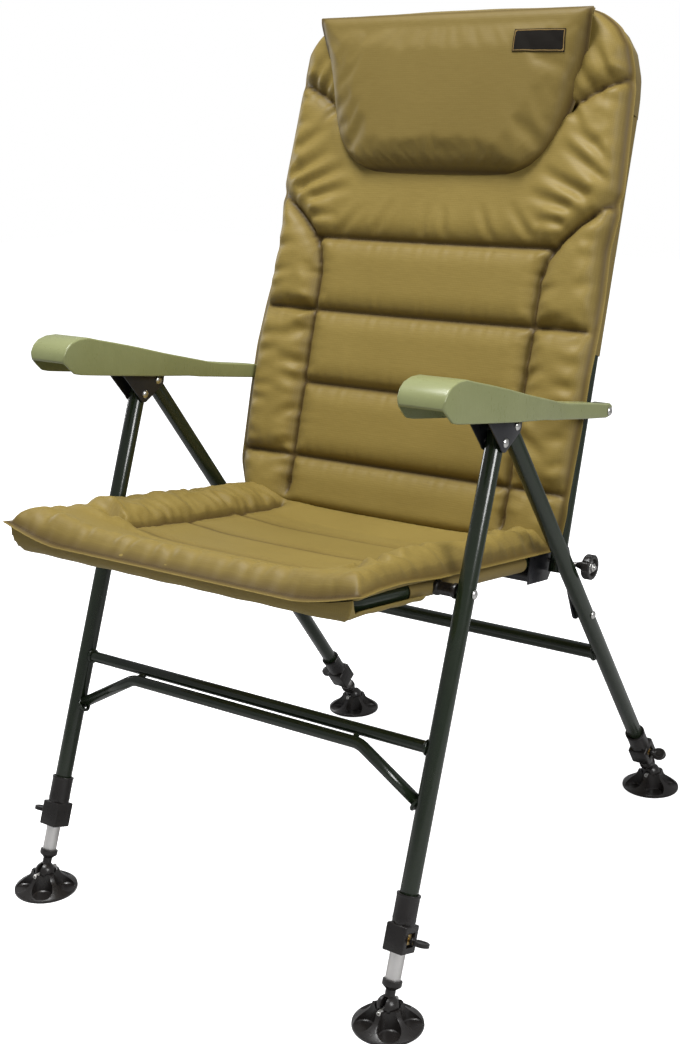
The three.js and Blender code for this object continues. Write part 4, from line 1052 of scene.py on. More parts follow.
@dataclass
class Armrest:
    """A moulded arm, open underneath, lofted from its nose to its tail."""

    wardrobe: Wardrobe
    wall: float = 0.0028
    open_tail: int = 6
    top: tuple[tuple[float, float], ...] = (
        (-289.5, 683), (-288.5, 691), (-283.5, 698.5), (-275, 704), (-262, 706.8), (-246, 706.3),
        (-226, 700.6), (-200, 693.8), (-175, 687), (-152, 680.5), (-130, 674), (-107, 667.3),
        (-84, 661), (-54, 653), (-28, 646), (-5, 639.8), (18, 634.5), (65, 626), (100, 619.8), (128, 613.8),
    )
    base: tuple[tuple[float, float], ...] = (
        (-289, 681), (-286, 678), (-280.5, 672.5), (-273, 665.4), (-262, 662.4), (-246, 659.6),
        (-226, 656.2), (-200, 651.9), (-175, 647.8), (-152, 643.9), (-130, 640.2), (-107, 636.7),
        (-84, 633.0), (-54, 628.2), (-28, 622.7), (-5, 618.6), (18, 614.6), (65, 606.6), (100, 600.9), (128, 596.6),
    )
    half: tuple[float, ...] = (
        0.0270, 0.0285, 0.0292, 0.0295, 0.0295, 0.0295, 0.0295, 0.0295, 0.0295, 0.0291,
        0.0283, 0.0268, 0.0250, 0.0222, 0.0190, 0.0158, 0.0140, 0.0127, 0.0124, 0.0122,
    )

    def build(self) -> None:
        """Builds both arms."""
        for side in Side:
            dress(self.shell(side), self.wardrobe.arm, "arms", f"armrest_{side.word}")

    def shell(self, side: Side) -> bpy.types.Object:
        """One arm, extruded station by station and hollowed from below."""
        Bench.clear()
        centre = X * side.value * PLAN.leg_x
        outer = self.loft(f"arm_{side.word}", centre, 0.0, 0.0)
        Bench.smooth(outer, 28.0, 0.0062, 5)
        Bench.carve(outer, self.loft("hollow", centre, self.wall, 0.03))
        Bench.carve(outer, Bench.rod("eye", 0.0034, 0.08, PLAN.tail_pivot + centre - X * 0.04, X, 20))
        return Bench.smooth(outer, 32.0)

    def loft(self, name: str, centre: Vector, inset: float, drop: float) -> bpy.types.Object:
        """A box section carried along the arm.

        Args:
            name: The piece's name.
            centre: The arm's middle plane.
            inset: How far inside the outer skin the section lies.
            drop: How far its floor is lowered, to cut through the underside.

        Returns:
            The closed form.
        """
        first, last = (1, len(self.top) - self.open_tail) if inset else (0, len(self.top))
        Bench.clear()
        bpy.ops.mesh.primitive_circle_add(vertices=4, radius=0.01, fill_type="NGON")
        piece = bpy.context.object
        rows = []
        for k in range(first, last):
            top = centre + at(*self.top[k]) - Vector((0, 0, inset))
            base = centre + at(*self.base[k]) - Vector((0, 0, drop))
            across = X * max(self.half[k] - inset, 0.003)
            rows.append([base - across, base + across, top + across, top - across])
        if not inset:
            end = [spot + Vector((0, 0.010, 0)) for spot in rows[-1]]
            middle = sum(end, Vector()) / 4
            tip = middle + Vector((0, 0.0075, -0.001))
            rows.append([middle + (spot - middle) * 0.96 for spot in end])
            rows.append([tip + Vector(((spot - middle).x * 0.9, 0, (spot - middle).z * 0.62)) for spot in end])
        Bench.open_faces()
        for _ in rows[1:]:
            Bench.extrude((0, 0, 0.01))
        bpy.ops.object.mode_set(mode="OBJECT")
        for ring, row in zip(self.rings(piece, len(rows)), rows):
            for index, spot in zip(ring, row):
                piece.data.vertices[index].co = spot
        Bench.outward(piece)
        return Bench.settle(piece, name)

    @staticmethod
    def rings(piece: bpy.types.Object, count: int) -> list[list[int]]:
        """The point numbers of each ring of a stack of squares, in matching order."""
        spots = [(round(v.co.z, 4), math.atan2(v.co.y, v.co.x), v.index) for v in piece.data.vertices]
        levels = sorted({z for z, _, _ in spots})
        assert len(levels) == count
        return [[i for z, _, i in sorted(spots, key=lambda s: s[1]) if z == level] for level in levels]


@dataclass
class LegEnd:
    """One telescopic leg end: clamp collar, thumb screw, inner tube, ball plug, pin and foot."""

    wardrobe: Wardrobe
    side: Side
    end: End
    collar_start: dict = field(default_factory=lambda: {End.FRONT: 0.061, End.REAR: 0.045})
    screw_height: float = 0.0155
    slot_angles: tuple[int, ...] = (-43, -21, 0, 21, 43)
    dishes: int = 5

    @property
    def suffix(self) -> str:
        """The end of this corner's node names."""
        return f"{self.end.value}_{self.side.word}"

    @property
    def ball(self) -> Vector:
        """The ball's centre."""
        return PLAN.ball(self.end) + self.out * PLAN.leg_x

    @property
    def up(self) -> Vector:
        """Up along the leg."""
        return PLAN.up(self.end)

    @property
    def out(self) -> Vector:
        """Square to the leg, away from the chair's middle."""
        return X * self.side.value

    def build(self) -> None:
        """Builds the whole leg end."""
        self.collar()
        self.screw()
        self.inner_tube()
        self.plug()
        self.pin()
        self.foot()

    def collar(self) -> None:
        """The clamp collar: a block with a screw pocket under a plain sleeve, and its captive nut."""
        start = self.ball + self.up * self.collar_start[self.end]
        middle = start + self.up * self.screw_height
        body = Bench.block("collar_block", middle, (0.026, 0.0285, 0.031), self.up, 0.0016)
        pocket = Bench.block("pocket", middle + self.out * 0.013, (0.010, 0.0150, 0.0165), self.up, 0.0008)
        Bench.smooth(Bench.carve(body, pocket), 30.0)
        profile = [
            (0.0125, 0.0285), (0.0134, 0.036), (0.0132, 0.040), (0.0132, 0.0612), (0.0137, 0.0618),
            (0.0137, 0.064), (0.0108, 0.064), (0.0108, 0.050),
        ]
        sleeve = Bench.turned("collar_sleeve", profile, start, self.up, 44, 0.0004)
        profile = [(0.0089, 0.004), (0.0089, 0.0002), (0.0112, 0.0002), (0.0118, 0.002)]
        skirt = Bench.turned("collar_skirt", profile, start, self.up, 36, 0.0003)
        piece = Bench.joined(f"collar_{self.suffix}", body, sleeve, skirt)
        frame = f"{self.end.value}_frame"
        dress(piece, self.wardrobe.black, frame, f"clamp_collar_{self.suffix}")
        spot = middle + self.out * 0.0088
        nut = Bench.block(f"collar_nut_{self.suffix}", spot, (0.003, 0.0118, 0.0118), self.up, 0.0006)
        dress(nut, self.wardrobe.brass, frame)

    def screw(self) -> None:
        """The thumb screw, with its oval paddle edge-on and a brass shank."""
        start = self.ball + self.up * (self.collar_start[self.end] + self.screw_height)
        body = f"clamp_screw_{self.suffix}"
        profile = [(0.0040, 0.0133), (0.0046, 0.0140), (0.0046, 0.0170), (0.0030, 0.0195)]
        neck = Bench.turned("screw_neck", profile, start, self.out, 24, 0.0003)
        Bench.clear()
        bpy.ops.mesh.primitive_cylinder_add(vertices=40, radius=0.01, depth=0.0044)
        paddle = bpy.context.object
        turn = Matrix((X, self.up.cross(X).normalized(), self.up)).transposed().to_4x4()
        place = Matrix.Translation(start + self.out * 0.0258)
        paddle.matrix_world = place @ turn @ Matrix.Diagonal((1.0, 0.9, 1.0, 1.0))
        Bench.settle(paddle, "paddle")
        Bench.outward(paddle)
        profile = [(0.0052, 0.0016), (0.0062, 0.0030)]
        Bench.carve(paddle, Bench.turned("dish", profile, start + self.out * 0.0262, self.up, 28))
        Bench.smooth(paddle, 30.0, 0.0008)
        piece = Bench.joined(f"thumb_screw_{self.suffix}", neck, paddle)
        dress(piece, self.wardrobe.black, body, body)
        profile = [(0.0027, 0.0091), (0.0027, 0.0135)]
        shank = Bench.turned(f"screw_shank_{self.suffix}", profile, start, self.out, 24)
        dress(shank, self.wardrobe.brass, body)

    def inner_tube(self) -> None:
        """The aluminium inner leg."""
        body = f"inner_leg_{self.suffix}"
        profile = [(0.0068, 0.0), (0.00875, 0.0), (0.00875, 0.1947), (0.0073, 0.1947), (0.0073, 0.17)]
        start = self.ball + self.up * 0.0253
        tube = Bench.turned(f"inner_tube_{self.suffix}", profile, start, self.up, 44, 0.0003)
        dress(tube, self.wardrobe.aluminium, body, body)

    def plug(self) -> None:
        """The ball plug: a slotted ball, a neck and a cup round the tube's end."""
        radius, neck = 0.0130, 0.0058
        turns = np.linspace(0.06, math.pi - math.asin(neck / radius), 18)
        profile = [(radius * math.sin(a), -radius * math.cos(a)) for a in turns]
        profile += [
            (neck, 0.0185), (0.0072, 0.0198), (0.0106, 0.0226), (0.0112, 0.0240), (0.0112, 0.0290),
            (0.0091, 0.0290), (0.0091, 0.0250),
        ]
        piece = Bench.turned(f"ball_end_{self.suffix}", profile, self.ball, self.up, 40, 0.0)
        for degrees in self.slot_angles:
            lean = Matrix.Rotation(math.radians(degrees), 3, "X") @ self.up
            Bench.carve(piece, Bench.block("ball_slot", self.ball, (0.0060, 0.034, 0.0064), lean))
        body = f"inner_leg_{self.suffix}"
        dress(Bench.smooth(piece, 32.0), self.wardrobe.black, body, f"ball_plug_{self.suffix}")

    def pin(self) -> None:
        """The rolled cross pin, hollow at its ends."""
        length = 0.0374
        half = [(0.0014, 0.003), (0.0014, 0.0), (0.0025, 0.0), (0.0027, 0.0004)]
        profile = half + [(r, length - z) for r, z in reversed(half)]
        start = self.ball - Vector((0, length / 2, 0))
        piece = Bench.turned(f"roll_pin_{self.suffix}", profile, start, Vector((0, 1, 0)), 24)
        dress(piece, self.wardrobe.steel, f"foot_pin_{self.suffix}", f"foot_pin_{self.suffix}")

    def foot(self) -> None:
        """The round foot: a cone with dished hollows, flared ribs and a slotted hub."""
        base = Vector((self.ball.x, self.ball.y, 0.0))
        up = Vector((0, 0, 1))
        z = self.ball.z
        profile = [
            (0.0385, 0.0), (0.0400, 0.0005), (0.0405, 0.0016), (0.0402, 0.0040), (0.0388, 0.0052),
            (0.0350, 0.0078), (0.0300, 0.0112), (0.0255, 0.0146), (0.0220, 0.0178), (0.0200, 0.0205),
            (0.0186, 0.0240), (0.0178, z + 0.0018), (0.0160, z + 0.0020), (0.0142, z + 0.0012),
            (0.0142, z), (0.0136, z - 0.0045), (0.0118, z - 0.0080), (0.0085, z - 0.0112), (0.0040, z - 0.0131),
        ]
        foot = Bench.turned(f"foot_{self.suffix}", profile, base, up, 72)
        tools = []
        dish = [(0.0110, 0.0046), (0.0124, 0.0056), (0.0135, 0.0120), (0.0150, 0.0300)]
        for k in range(self.dishes):
            angle = 2 * math.pi * (k + 0.5) / self.dishes - math.pi / 2
            spot = base + Vector((math.cos(angle), math.sin(angle), 0)) * 0.0285
            tools.append(Bench.turned("dish", dish, spot, up, 40))
        slot = Bench.block("slot", base + up * (z + 0.0120), (0.062, 0.0135, 0.022), up, 0.001)
        hole = Bench.rod("pin_hole", 0.0031, 0.05, self.ball - Vector((0, 0.025, 0)), Vector((0, 1, 0)), 20)
        Bench.carve(foot, *tools, slot, hole)
        Bench.smooth(foot, 38.0, 0.0005, 2)
        dress(foot, self.wardrobe.black, f"foot_disc_{self.suffix}", f"foot_disc_{self.suffix}")


# Soft parts


@dataclass(frozen=True)
class Crease:
    """A fold in the cloth, deepest near its start, with a ridge along each side."""

    start: tuple[float, float]
    finish: tuple[float, float]
    depth: float
    width: float

    def height(self, spots: np.ndarray) -> np.ndarray:
        """How far the fold moves plan points outwards, which is mostly inwards."""
        a, b = np.array(self.start), np.array(self.finish)
        run = b - a
        t = np.clip(((spots - a) @ run) / float(run @ run), 0, 1)
        gap = np.hypot(*(spots - a - t[:, None] * run).T)
        taper = np.clip(t / 0.12, 0, 1) * (1 - t) ** 0.7
        valley = np.exp(-((gap / self.width) ** 2))
        ridges = np.exp(-(((gap - 2.1 * self.width) / self.width) ** 2))
        return self.depth * taper * (0.55 * ridges - valley)


@dataclass(frozen=True)
class SeamLine:
    """A row of stitches through a pad, as points of its plan in metres."""

    stops: tuple[tuple[float, float], ...]

    def mirrored(self) -> "SeamLine":
        """The same row on the other side."""
        return SeamLine(tuple((-x, d) for x, d in self.stops))

    def nearest(self, spots: np.ndarray) -> tuple[np.ndarray, np.ndarray, np.ndarray]:
        """How far plan points are from the row.

        Args:
            spots: An array of plan points.

        Returns:
            Their distances, the nearest points on the row, and how far along it those are.
        """
        best = np.full(len(spots), 1e9)
        foot = np.zeros_like(spots)
        run = np.zeros(len(spots))
        passed = 0.0
        for a, b in zip(self.stops, self.stops[1:]):
            a, b = np.array(a), np.array(b)
            d = b - a
            length = float(np.hypot(*d))
            t = np.clip(((spots - a) @ d) / length**2, 0, 1)
            near = a + t[:, None] * d
            gap = np.hypot(*(spots - near).T)
            better = gap < best
            best = np.where(better, gap, best)
            foot = np.where(better[:, None], near, foot)
            run = np.where(better, passed + t * length, run)
            passed += length
        return best, foot, run


Reach = Callable[[np.ndarray], np.ndarray]
Relief = Callable[[np.ndarray, np.ndarray], np.ndarray]


def quarter(t: np.ndarray) -> np.ndarray:
    """A quarter circle: steep at 0 and level at 1."""
    return np.sqrt(np.clip(1 - (1 - np.clip(t, 0, 1)) ** 2, 0, 1))


@dataclass(frozen=True)
class Plane:
    """The plane that a soft part is laid out on."""

    origin: Vector
    along: Vector
    normal: Vector

    def place(self, x: np.ndarray, d: np.ndarray, rise: np.ndarray) -> np.ndarray:
        """Points of the row frame from plan points and their heights."""
        return np.outer(x, X) + np.outer(d, self.along) + np.outer(rise, self.normal) + np.array(self.origin)


SEAT = Plane(PLAN.hinge, -PLAN.seat_rearward, PLAN.seat_up)
BACK = Plane(PLAN.hinge, PLAN.back_up, PLAN.back_front)


def write(piece: bpy.types.Object, where: np.ndarray) -> None:
    """Moves a piece's points."""
    piece.data.vertices.foreach_set("co", where.astype(np.float32).ravel())
    piece.data.update()


def keep(piece: bpy.types.Object, name: str, values: np.ndarray) -> None:
    """Stores a number on each point."""
    layer = piece.data.attributes.new(name, "FLOAT", "POINT")
    layer.data.foreach_set("value", np.asarray(values).astype(np.float32))


@dataclass
class Quilt:
    """A stuffed pad: two layers of cloth sewn together round its edge and along its seams."""

    name: str
    plane: Plane
    start: float
    finish: float
    half_width: Reach
    seams: Sequence[SeamLine]
    floor: Relief
    loft: Relief
    edge: Relief
    thickness: float = 0.006
    roll: float = 0.024
    seam_roll: float = 0.022
    under_roll: float = 0.012
    start_steep: float = 1.0
    finish_steep: float = 1.0
    creases: Sequence[Crease] = ()
    crease_strength: float = 1.0
    faint: Sequence[SeamLine] = ()
    still: Callable[[np.ndarray, np.ndarray], np.ndarray] | None = None
    ripple: float = 0.0009
    beats: Sequence[tuple[float, float, float]] = ((1.0, 483, 1.3), (0.8, 305, 0.4), (0.6, 751, 2.2))
    frames: int = 20
    cell: float = 0.0055
    hem: float = 0.006
    hem_thick: float = 0.0016
    pressure: float = 3.0
    slack: float = 0.03
    cap: float = 0.016

    def slab(self, columns: int, rows: int) -> tuple[bpy.types.Object, np.ndarray]:
        """A grid, extruded to a closed slab of two layers, and its points."""
        piece, _ = Bench.grid(columns, rows)
        Bench.open_faces()
        Bench.extrude((0, 0, 1))
        Bench.close_faces()
        return piece, np.array([v.co for v in piece.data.vertices])

    def stops(self, count: int, span: float) -> np.ndarray:
        """Grid lines from 0 to 1 across a span, with a hem's width at each end."""
        hem = self.hem / span
        return np.concatenate([[0.0], np.linspace(hem, 1 - hem, count - 1), [1.0]])

    def build(self, simulate: bool = True) -> bpy.types.Object:
        """Shapes the slab, blows it up as cloth and smooths it.

        Args:
            simulate: Whether to run the cloth.

        Returns:
            The finished pad.
        """
        length = self.finish - self.start
        width = 2 * float(np.max(self.half_width(np.linspace(self.start, self.finish, 60))))
        columns, rows = int(width / self.cell), int(length / self.cell)
        piece, co = self.slab(columns, rows)
        u = np.round((co[:, 0] / 2 + 0.5) * columns).astype(int)
        v = np.round((co[:, 1] / 2 + 0.5) * rows).astype(int)
        top = co[:, 2] > 0.5
        d = self.start + self.stops(rows, length)[v] * length
        x = (2 * self.stops(columns, width)[u] - 1) * self.half_width(d)
        rim = (u <= 1) | (v <= 1) | (u >= columns - 1) | (v >= rows - 1)
        spots = np.stack([x, d], 1)
        gap, run, sewn = self.sew(spots, ~rim)
        x, d = spots.T
        inner = self.rim(x, d)
        where = self.plane.place(x, d, self.relief(x, d, gap, run, inner, top))
        write(piece, where)
        # The distance to the nearest seam or hem, which sets where the cloth gets stitches and painted shade. Faint
        # seams are kept 1.2 mm off, so they get painted shade and no stitches.
        hem_line = np.abs(inner - self.hem * 0.8)
        stitch_and_shade_gap = np.minimum(gap, hem_line)
        for seam in self.faint:
            stitch_and_shade_gap = np.minimum(stitch_and_shade_gap, seam.nearest(spots)[0] + 0.0012)
        keep(piece, "seam_gap", np.where(top, stitch_and_shade_gap, 1.0))
        keep(piece, "seam_run", np.where(gap < hem_line, run, x + d))
        Bench.rename(piece, self.name)
        if simulate:
            calm = self.still(x, d) if self.still else np.zeros(len(x), bool)
            self.inflate(piece, (~top) | rim | sewn | calm, where)
        Bench.apply(piece, "SUBSURF", levels=1, render_levels=1)
        Bench.pick(piece)
        bpy.ops.object.shade_smooth()
        return piece

    def relief(
        self, x: np.ndarray, d: np.ndarray, gap: np.ndarray, run: np.ndarray, inner: np.ndarray, top: np.ndarray
    ) -> np.ndarray:
        """The height of each point over the plan."""
        edge, floor = self.edge(x, d), self.floor(x, d)
        share = quarter((inner - self.hem) / self.roll)
        crown = floor + self.thickness + self.loft(x, d) * quarter(gap / self.seam_roll)
        upper = edge * (1 - share) + crown * share + self.hem_thick
        spots = np.stack([x, d], 1)
        for seam in self.faint:
            upper -= 0.0032 * np.exp(-((seam.nearest(spots)[0] / 0.007) ** 2)) * share
        for crease in self.creases:
            upper += self.crease_strength * crease.height(spots) * share
        near = np.exp(-gap / 0.016) * np.clip(gap / 0.005, 0, 1)
        near += np.exp(-inner / 0.014) * np.clip(inner / 0.008, 0, 1)
        line = np.where(gap < inner, run, x + d)
        beat = sum(size * np.sin(line * rate + shift) for size, rate, shift in self.beats)
        upper += self.ripple * beat * near * share
        below = quarter((inner - self.hem) / self.under_roll)
        under = edge * (1 - below) + floor * below
        return np.where(top, np.maximum(upper, under + 0.0012), under)

    def rim(self, x: np.ndarray, d: np.ndarray) -> np.ndarray:
        """How far plan points are from the pad's outline, about."""
        ends = [(d - self.start) * self.start_steep, (self.finish - d) * self.finish_steep]
        return np.minimum.reduce([self.half_width(d) - np.abs(x), *ends])

    def sew(self, spots: np.ndarray, inside: np.ndarray) -> tuple[np.ndarray, ...]:
        """Draws the points near a seam on to it.

        Args:
            spots: Plan points, which are changed in place.
            inside: Which of them may move.

        Returns:
            Each point's distance from the nearest seam, its run along it, and whether it is sewn.
        """
        gap = np.full(len(spots), 1.0)
        run = np.zeros(len(spots))
        sewn = np.zeros(len(spots), bool)
        for seam in self.seams:
            near, foot, along = seam.nearest(spots)
            on = (near < self.cell * 0.52) & inside
            spots[on] = foot[on]
            near = np.where(on, 0.0, near)
            sewn |= on
            better = near < gap
            gap = np.where(better, near, gap)
            run = np.where(better, along, run)
        return gap, run, sewn

    def inflate(self, piece: bpy.types.Object, held: np.ndarray, rest: np.ndarray) -> None:
        """Blows the loose cloth up between its held points.

        Args:
            piece: The pad.
            held: Which points stay.
            rest: Where the points were.
        """
        group = piece.vertex_groups.new(name="held")
        group.add([int(i) for i in np.nonzero(held)[0]], 1.0, "REPLACE")
        cloth = piece.modifiers.new("Cloth", "CLOTH")
        settings = cloth.settings
        settings.vertex_group_mass = "held"
        settings.use_pressure = True
        settings.uniform_pressure_force = self.pressure
        settings.shrink_min = -self.slack
        settings.shrink_max = -self.slack
        settings.effector_weights.gravity = 0
        settings.quality = 4
        settings.bending_stiffness = 0.15
        cloth.collision_settings.use_collision = False
        cloth.point_cache.frame_start = 1
        cloth.point_cache.frame_end = self.frames
        scene = bpy.context.scene
        for frame_number in range(1, self.frames + 1):
            scene.frame_set(frame_number)
        Bench.pick(piece)
        bpy.ops.object.modifier_apply(modifier=cloth.name)
        scene.frame_set(1)
        moved = np.array([v.co for v in piece.data.vertices]) - rest
        far = np.linalg.norm(moved, axis=1, keepdims=True)
        moved *= np.minimum(1.0, self.cap / np.maximum(far, 1e-9))
        write(piece, rest + moved)
        piece.vertex_groups.clear()
        log.info("%s blown up, most %.1f mm", piece.name, float(far.max()) * 1000)


@dataclass
class Pocket:
    """A cloth pocket that wraps round a bent tube, as a shallow tray."""

    name: str
    plane: Plane
    start: float
    finish: float
    half_width: Reach
    floor: float
    rim: Relief
    wrap: float = 0.014
    cell: float = 0.006
    cloth: float = 0.0009
    turned_edge: float = 0.014

    def build(self) -> bpy.types.Object:
        """Shapes a grid and thickens it."""
        close = np.array([0.0, 0.0008, 0.0025, 0.005, 0.009])
        width = 2 * float(np.max(self.half_width(np.linspace(self.start, self.finish, 60))))
        length = self.finish - self.start
        edge = self.turned_edge
        across = np.linspace(edge, width - edge, int((width - 2 * edge) / self.cell))
        across = np.concatenate([close, across, width - close[::-1]]) / width
        along = np.linspace(0, length - edge, int((length - edge) / self.cell))
        along = np.concatenate([along, length - close[::-1]]) / length
        piece, co = Bench.grid(len(across) - 1, len(along) - 1)
        u = np.round((co[:, 0] / 2 + 0.5) * (len(across) - 1)).astype(int)
        v = np.round((co[:, 1] / 2 + 0.5) * (len(along) - 1)).astype(int)
        d = self.start + along[v] * length
        half = self.half_width(d)
        x = (2 * across[u] - 1) * half
        inner = np.minimum(half - np.abs(x), self.finish - d)
        share = 1 - quarter(inner / self.wrap)
        rise = self.floor + (self.rim(x, d) - self.floor) * share
        rise += 0.0006 * np.sin(x * 90) * np.sin(d * 140 + x * 30) * (1 - share)
        write(piece, self.plane.place(x, d, rise))
        return Bench.thicken(piece, self.name, self.cloth)

    def cut(self) -> tuple[float, float]:
        """The width and length of cloth that the pocket takes, about."""
        rows = np.linspace(self.start, self.finish, 60)
        half = self.half_width(rows)
        front = self.rim(half[-1] * np.linspace(-1, 1, 60), np.full(60, self.finish))
        width = 2 * float(np.mean(half)) + 2 * self.lap(float(np.mean(self.rim(half, rows))))
        return width, self.finish - self.start + self.lap(float(np.mean(front)))

    def lap(self, top: float) -> float:
        """How much more cloth a turned-up edge takes than a flat one."""
        return math.pi / 2 * math.sqrt((self.wrap**2 + (top - self.floor) ** 2) / 2) - self.wrap


@dataclass
class Upholstery:
    """The pads, slings, pockets, headrest and label patch."""

    wardrobe: Wardrobe
    simulate: bool

    def build(self) -> None:
        """Builds the soft parts."""
        self.seat_pad()
        self.back_pad()
        self.headrest()
        self.flap()
        self.label()
        self.slings()
        self.pockets()

    @staticmethod
    def seat_hang(x: np.ndarray) -> np.ndarray:
        """How far the seat hangs below its rails across its width."""
        return 0.0195 * np.clip(1 - np.abs(x / 0.205) ** 4, 0, 1)

    @staticmethod
    def seat_half(d: np.ndarray) -> np.ndarray:
        """Half the seat pad's width."""
        return 0.246 + 0.012 * np.clip((d - 0.34) / 0.132, 0, 1) ** 1.6

    @staticmethod
    def seat_corner(x: np.ndarray) -> np.ndarray:
        """From 0 along the seat's front to 1 at its corners."""
        return np.clip((np.abs(x) - 0.17) / 0.085, 0, 1) ** 1.5

    @staticmethod
    def flatten_with_back(piece: bpy.types.Object, share: float = 0.7) -> None:
        """Gives a soft piece of the back its own copy of its mesh."""
        PLAN.hinge
        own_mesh(piece)

    def padded(self, pad: Quilt, finish: Finish, body: str, node: str) -> bpy.types.Object:
        """Builds a pad and says what it is filled with and stands for."""
        piece = pad.build(self.simulate)
        return dress(piece, finish, body, node)

    def seat_creases(self) -> list[Crease]:
        """The folds that run out from the seat's seams."""
        random = np.random.default_rng(11)
        folds = []
        for side in (-1, 1):
            for d in np.arange(0.045, 0.335, 0.0175):
                d0 = d + random.uniform(-0.005, 0.005)
                reach = random.uniform(0.022, 0.058)
                slant = random.uniform(-0.2, 0.9)
                start, end = (side * 0.171, d0), (side * (0.171 + reach), d0 + slant * reach)
                folds.append(Crease(start, end, random.uniform(0.0012, 0.0036), random.uniform(0.0050, 0.0080)))
            for turn in np.radians(np.arange(-12, 96, 11)):
                turn += random.uniform(-0.06, 0.06)
                reach = random.uniform(0.030, 0.065)
                start = (side * 0.180, 0.352 + random.uniform(-0.008, 0.012))
                end = (start[0] + side * math.cos(turn) * reach, start[1] + math.sin(turn) * reach)
                folds.append(Crease(start, end, random.uniform(0.0012, 0.0026), random.uniform(0.0055, 0.0085)))
            for d in np.arange(0.06, 0.44, 0.034):
                d0 = d + random.uniform(-0.012, 0.012)
                start, end = (side * 0.243, d0), (side * 0.215, d0 + random.uniform(-0.012, 0.016))
                folds.append(Crease(start, end, random.uniform(0.0010, 0.0022), 0.0058))
        for x in np.arange(-0.22, 0.23, 0.031):
            x0 = x + random.uniform(-0.012, 0.012)
            end = (x0 + random.uniform(-0.016, 0.016), 0.440 - random.uniform(0.0, 0.018))
            depth = random.uniform(0.0010, 0.0024)
            folds.append(Crease((x0, 0.466), end, depth, random.uniform(0.0050, 0.0080)))
        return folds

    def seat_pad(self) -> None:
        """The seat pad: side bolsters, three channels between them, and a rolled front."""
        side = SeamLine(((0.168, 0.040), (0.168, 0.340)))
        seams = [side, side.mirrored()]
        # The seams across and the piping are faint: shallow dips with painted shade along them and no stitches.
        across = [SeamLine(((-0.168, d), (0.168, d))) for d in (0.130, 0.238, 0.345)]
        piping = SeamLine(((0.2375, 0.050), (0.2375, 0.330), (0.2410, 0.400), (0.2480, 0.445)))
        across += [piping, piping.mirrored()]

        def floor(x: np.ndarray, d: np.ndarray) -> np.ndarray:
            """The underside, which hangs with the sling behind the front bar."""
            return 0.0120 - self.seat_hang(x) * np.clip((0.445 - d) / 0.09, 0, 1)

        def loft(x: np.ndarray, d: np.ndarray) -> np.ndarray:
            """How high the stuffing stands."""
            bolster = np.clip((np.abs(x) - 0.160) / 0.012, 0, 1)
            corner = np.clip((np.abs(x) - 0.125) / 0.10, 0, 1)
            nose = np.clip((d - 0.29) / 0.10, 0, 1)
            tail = np.clip((0.085 - d) / 0.06, 0, 1)
            side = bolster * (1 - nose) + corner * nose
            return 0.006 + 0.016 * side + 0.005 * nose * (1 - side) + 0.014 * tail * (1 - side)

        def edge(x: np.ndarray, d: np.ndarray) -> np.ndarray:
            """The hem's height."""
            nose = np.clip((d - 0.43) / 0.035, 0, 1)
            side = 0.0155 + 0.0045 * np.clip((d - 0.30) / 0.08, 0, 1)
            return side * (1 - nose) + nose * (0.001 + 0.018 * self.seat_corner(x))

        pad = Quilt(
            "seat_cushion", SEAT, 0.014, 0.474, self.seat_half, seams, floor, loft, edge,
            roll=0.028, seam_roll=0.036, under_roll=0.009, start_steep=1.5, finish_steep=0.80,
            creases=self.seat_creases(), crease_strength=2.5, cell=0.0048, faint=across,
            still=lambda x, d: (np.abs(x) < 0.163) & (d < 0.36), slack=0.030, cap=0.004,
        )
        piece = self.padded(pad, self.wardrobe.seat_cloth, "seat_frame", "seat_pad")
        PLAN.hinge + PLAN.seat_up * 0.0155
        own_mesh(piece)

    def back_creases(self) -> list[Crease]:
        """The folds that run out from the back's seams."""
        random = np.random.default_rng(23)
        folds = []
        for side in (-1, 1):
            for h in (0.070, 0.096, 0.150, 0.185, 0.215, 0.265, 0.280, 0.296, 0.330):
                h0 = h + random.uniform(-0.006, 0.006)
                reach = random.uniform(0.020, 0.050)
                end = (side * (0.173 + reach), h0 + random.uniform(-0.8, 0.8) * reach)
                depth = random.uniform(0.0014, 0.0032)
                folds.append(Crease((side * 0.173, h0), end, depth, random.uniform(0.0050, 0.0075)))
            for h in np.arange(0.05, 0.66, 0.032):
                h0 = h + random.uniform(-0.010, 0.010)
                end = (side * random.uniform(0.205, 0.228), h0 + random.uniform(-0.014, 0.014))
                depth = random.uniform(0.0010, 0.0024)
                folds.append(Crease((side * 0.246, h0), end, depth, random.uniform(0.0050, 0.0068)))
            for x0, h0, x1, h1, depth, width in (
                (0.225, 0.446, 0.150, 0.482, 0.0034, 0.006), (0.205, 0.432, 0.135, 0.452, 0.0030, 0.006),
                (0.196, 0.418, 0.150, 0.422, 0.0026, 0.005), (0.240, 0.470, 0.175, 0.512, 0.0030, 0.006),
                (0.238, 0.500, 0.180, 0.540, 0.0024, 0.006), (0.150, 0.395, 0.110, 0.440, 0.0018, 0.005),
                (0.090, 0.393, 0.066, 0.440, 0.0016, 0.005), (0.020, 0.392, 0.012, 0.436, 0.0014, 0.005),
                (0.170, 0.565, 0.205, 0.530, 0.0020, 0.005), (0.225, 0.595, 0.200, 0.640, 0.0022, 0.005),
                (0.205, 0.586, 0.176, 0.630, 0.0020, 0.005),
            ):
                shift = random.uniform(-0.006, 0.006)
                folds.append(Crease((side * x0, h0 + shift), (side * x1, h1 + shift), depth, width))
        return folds

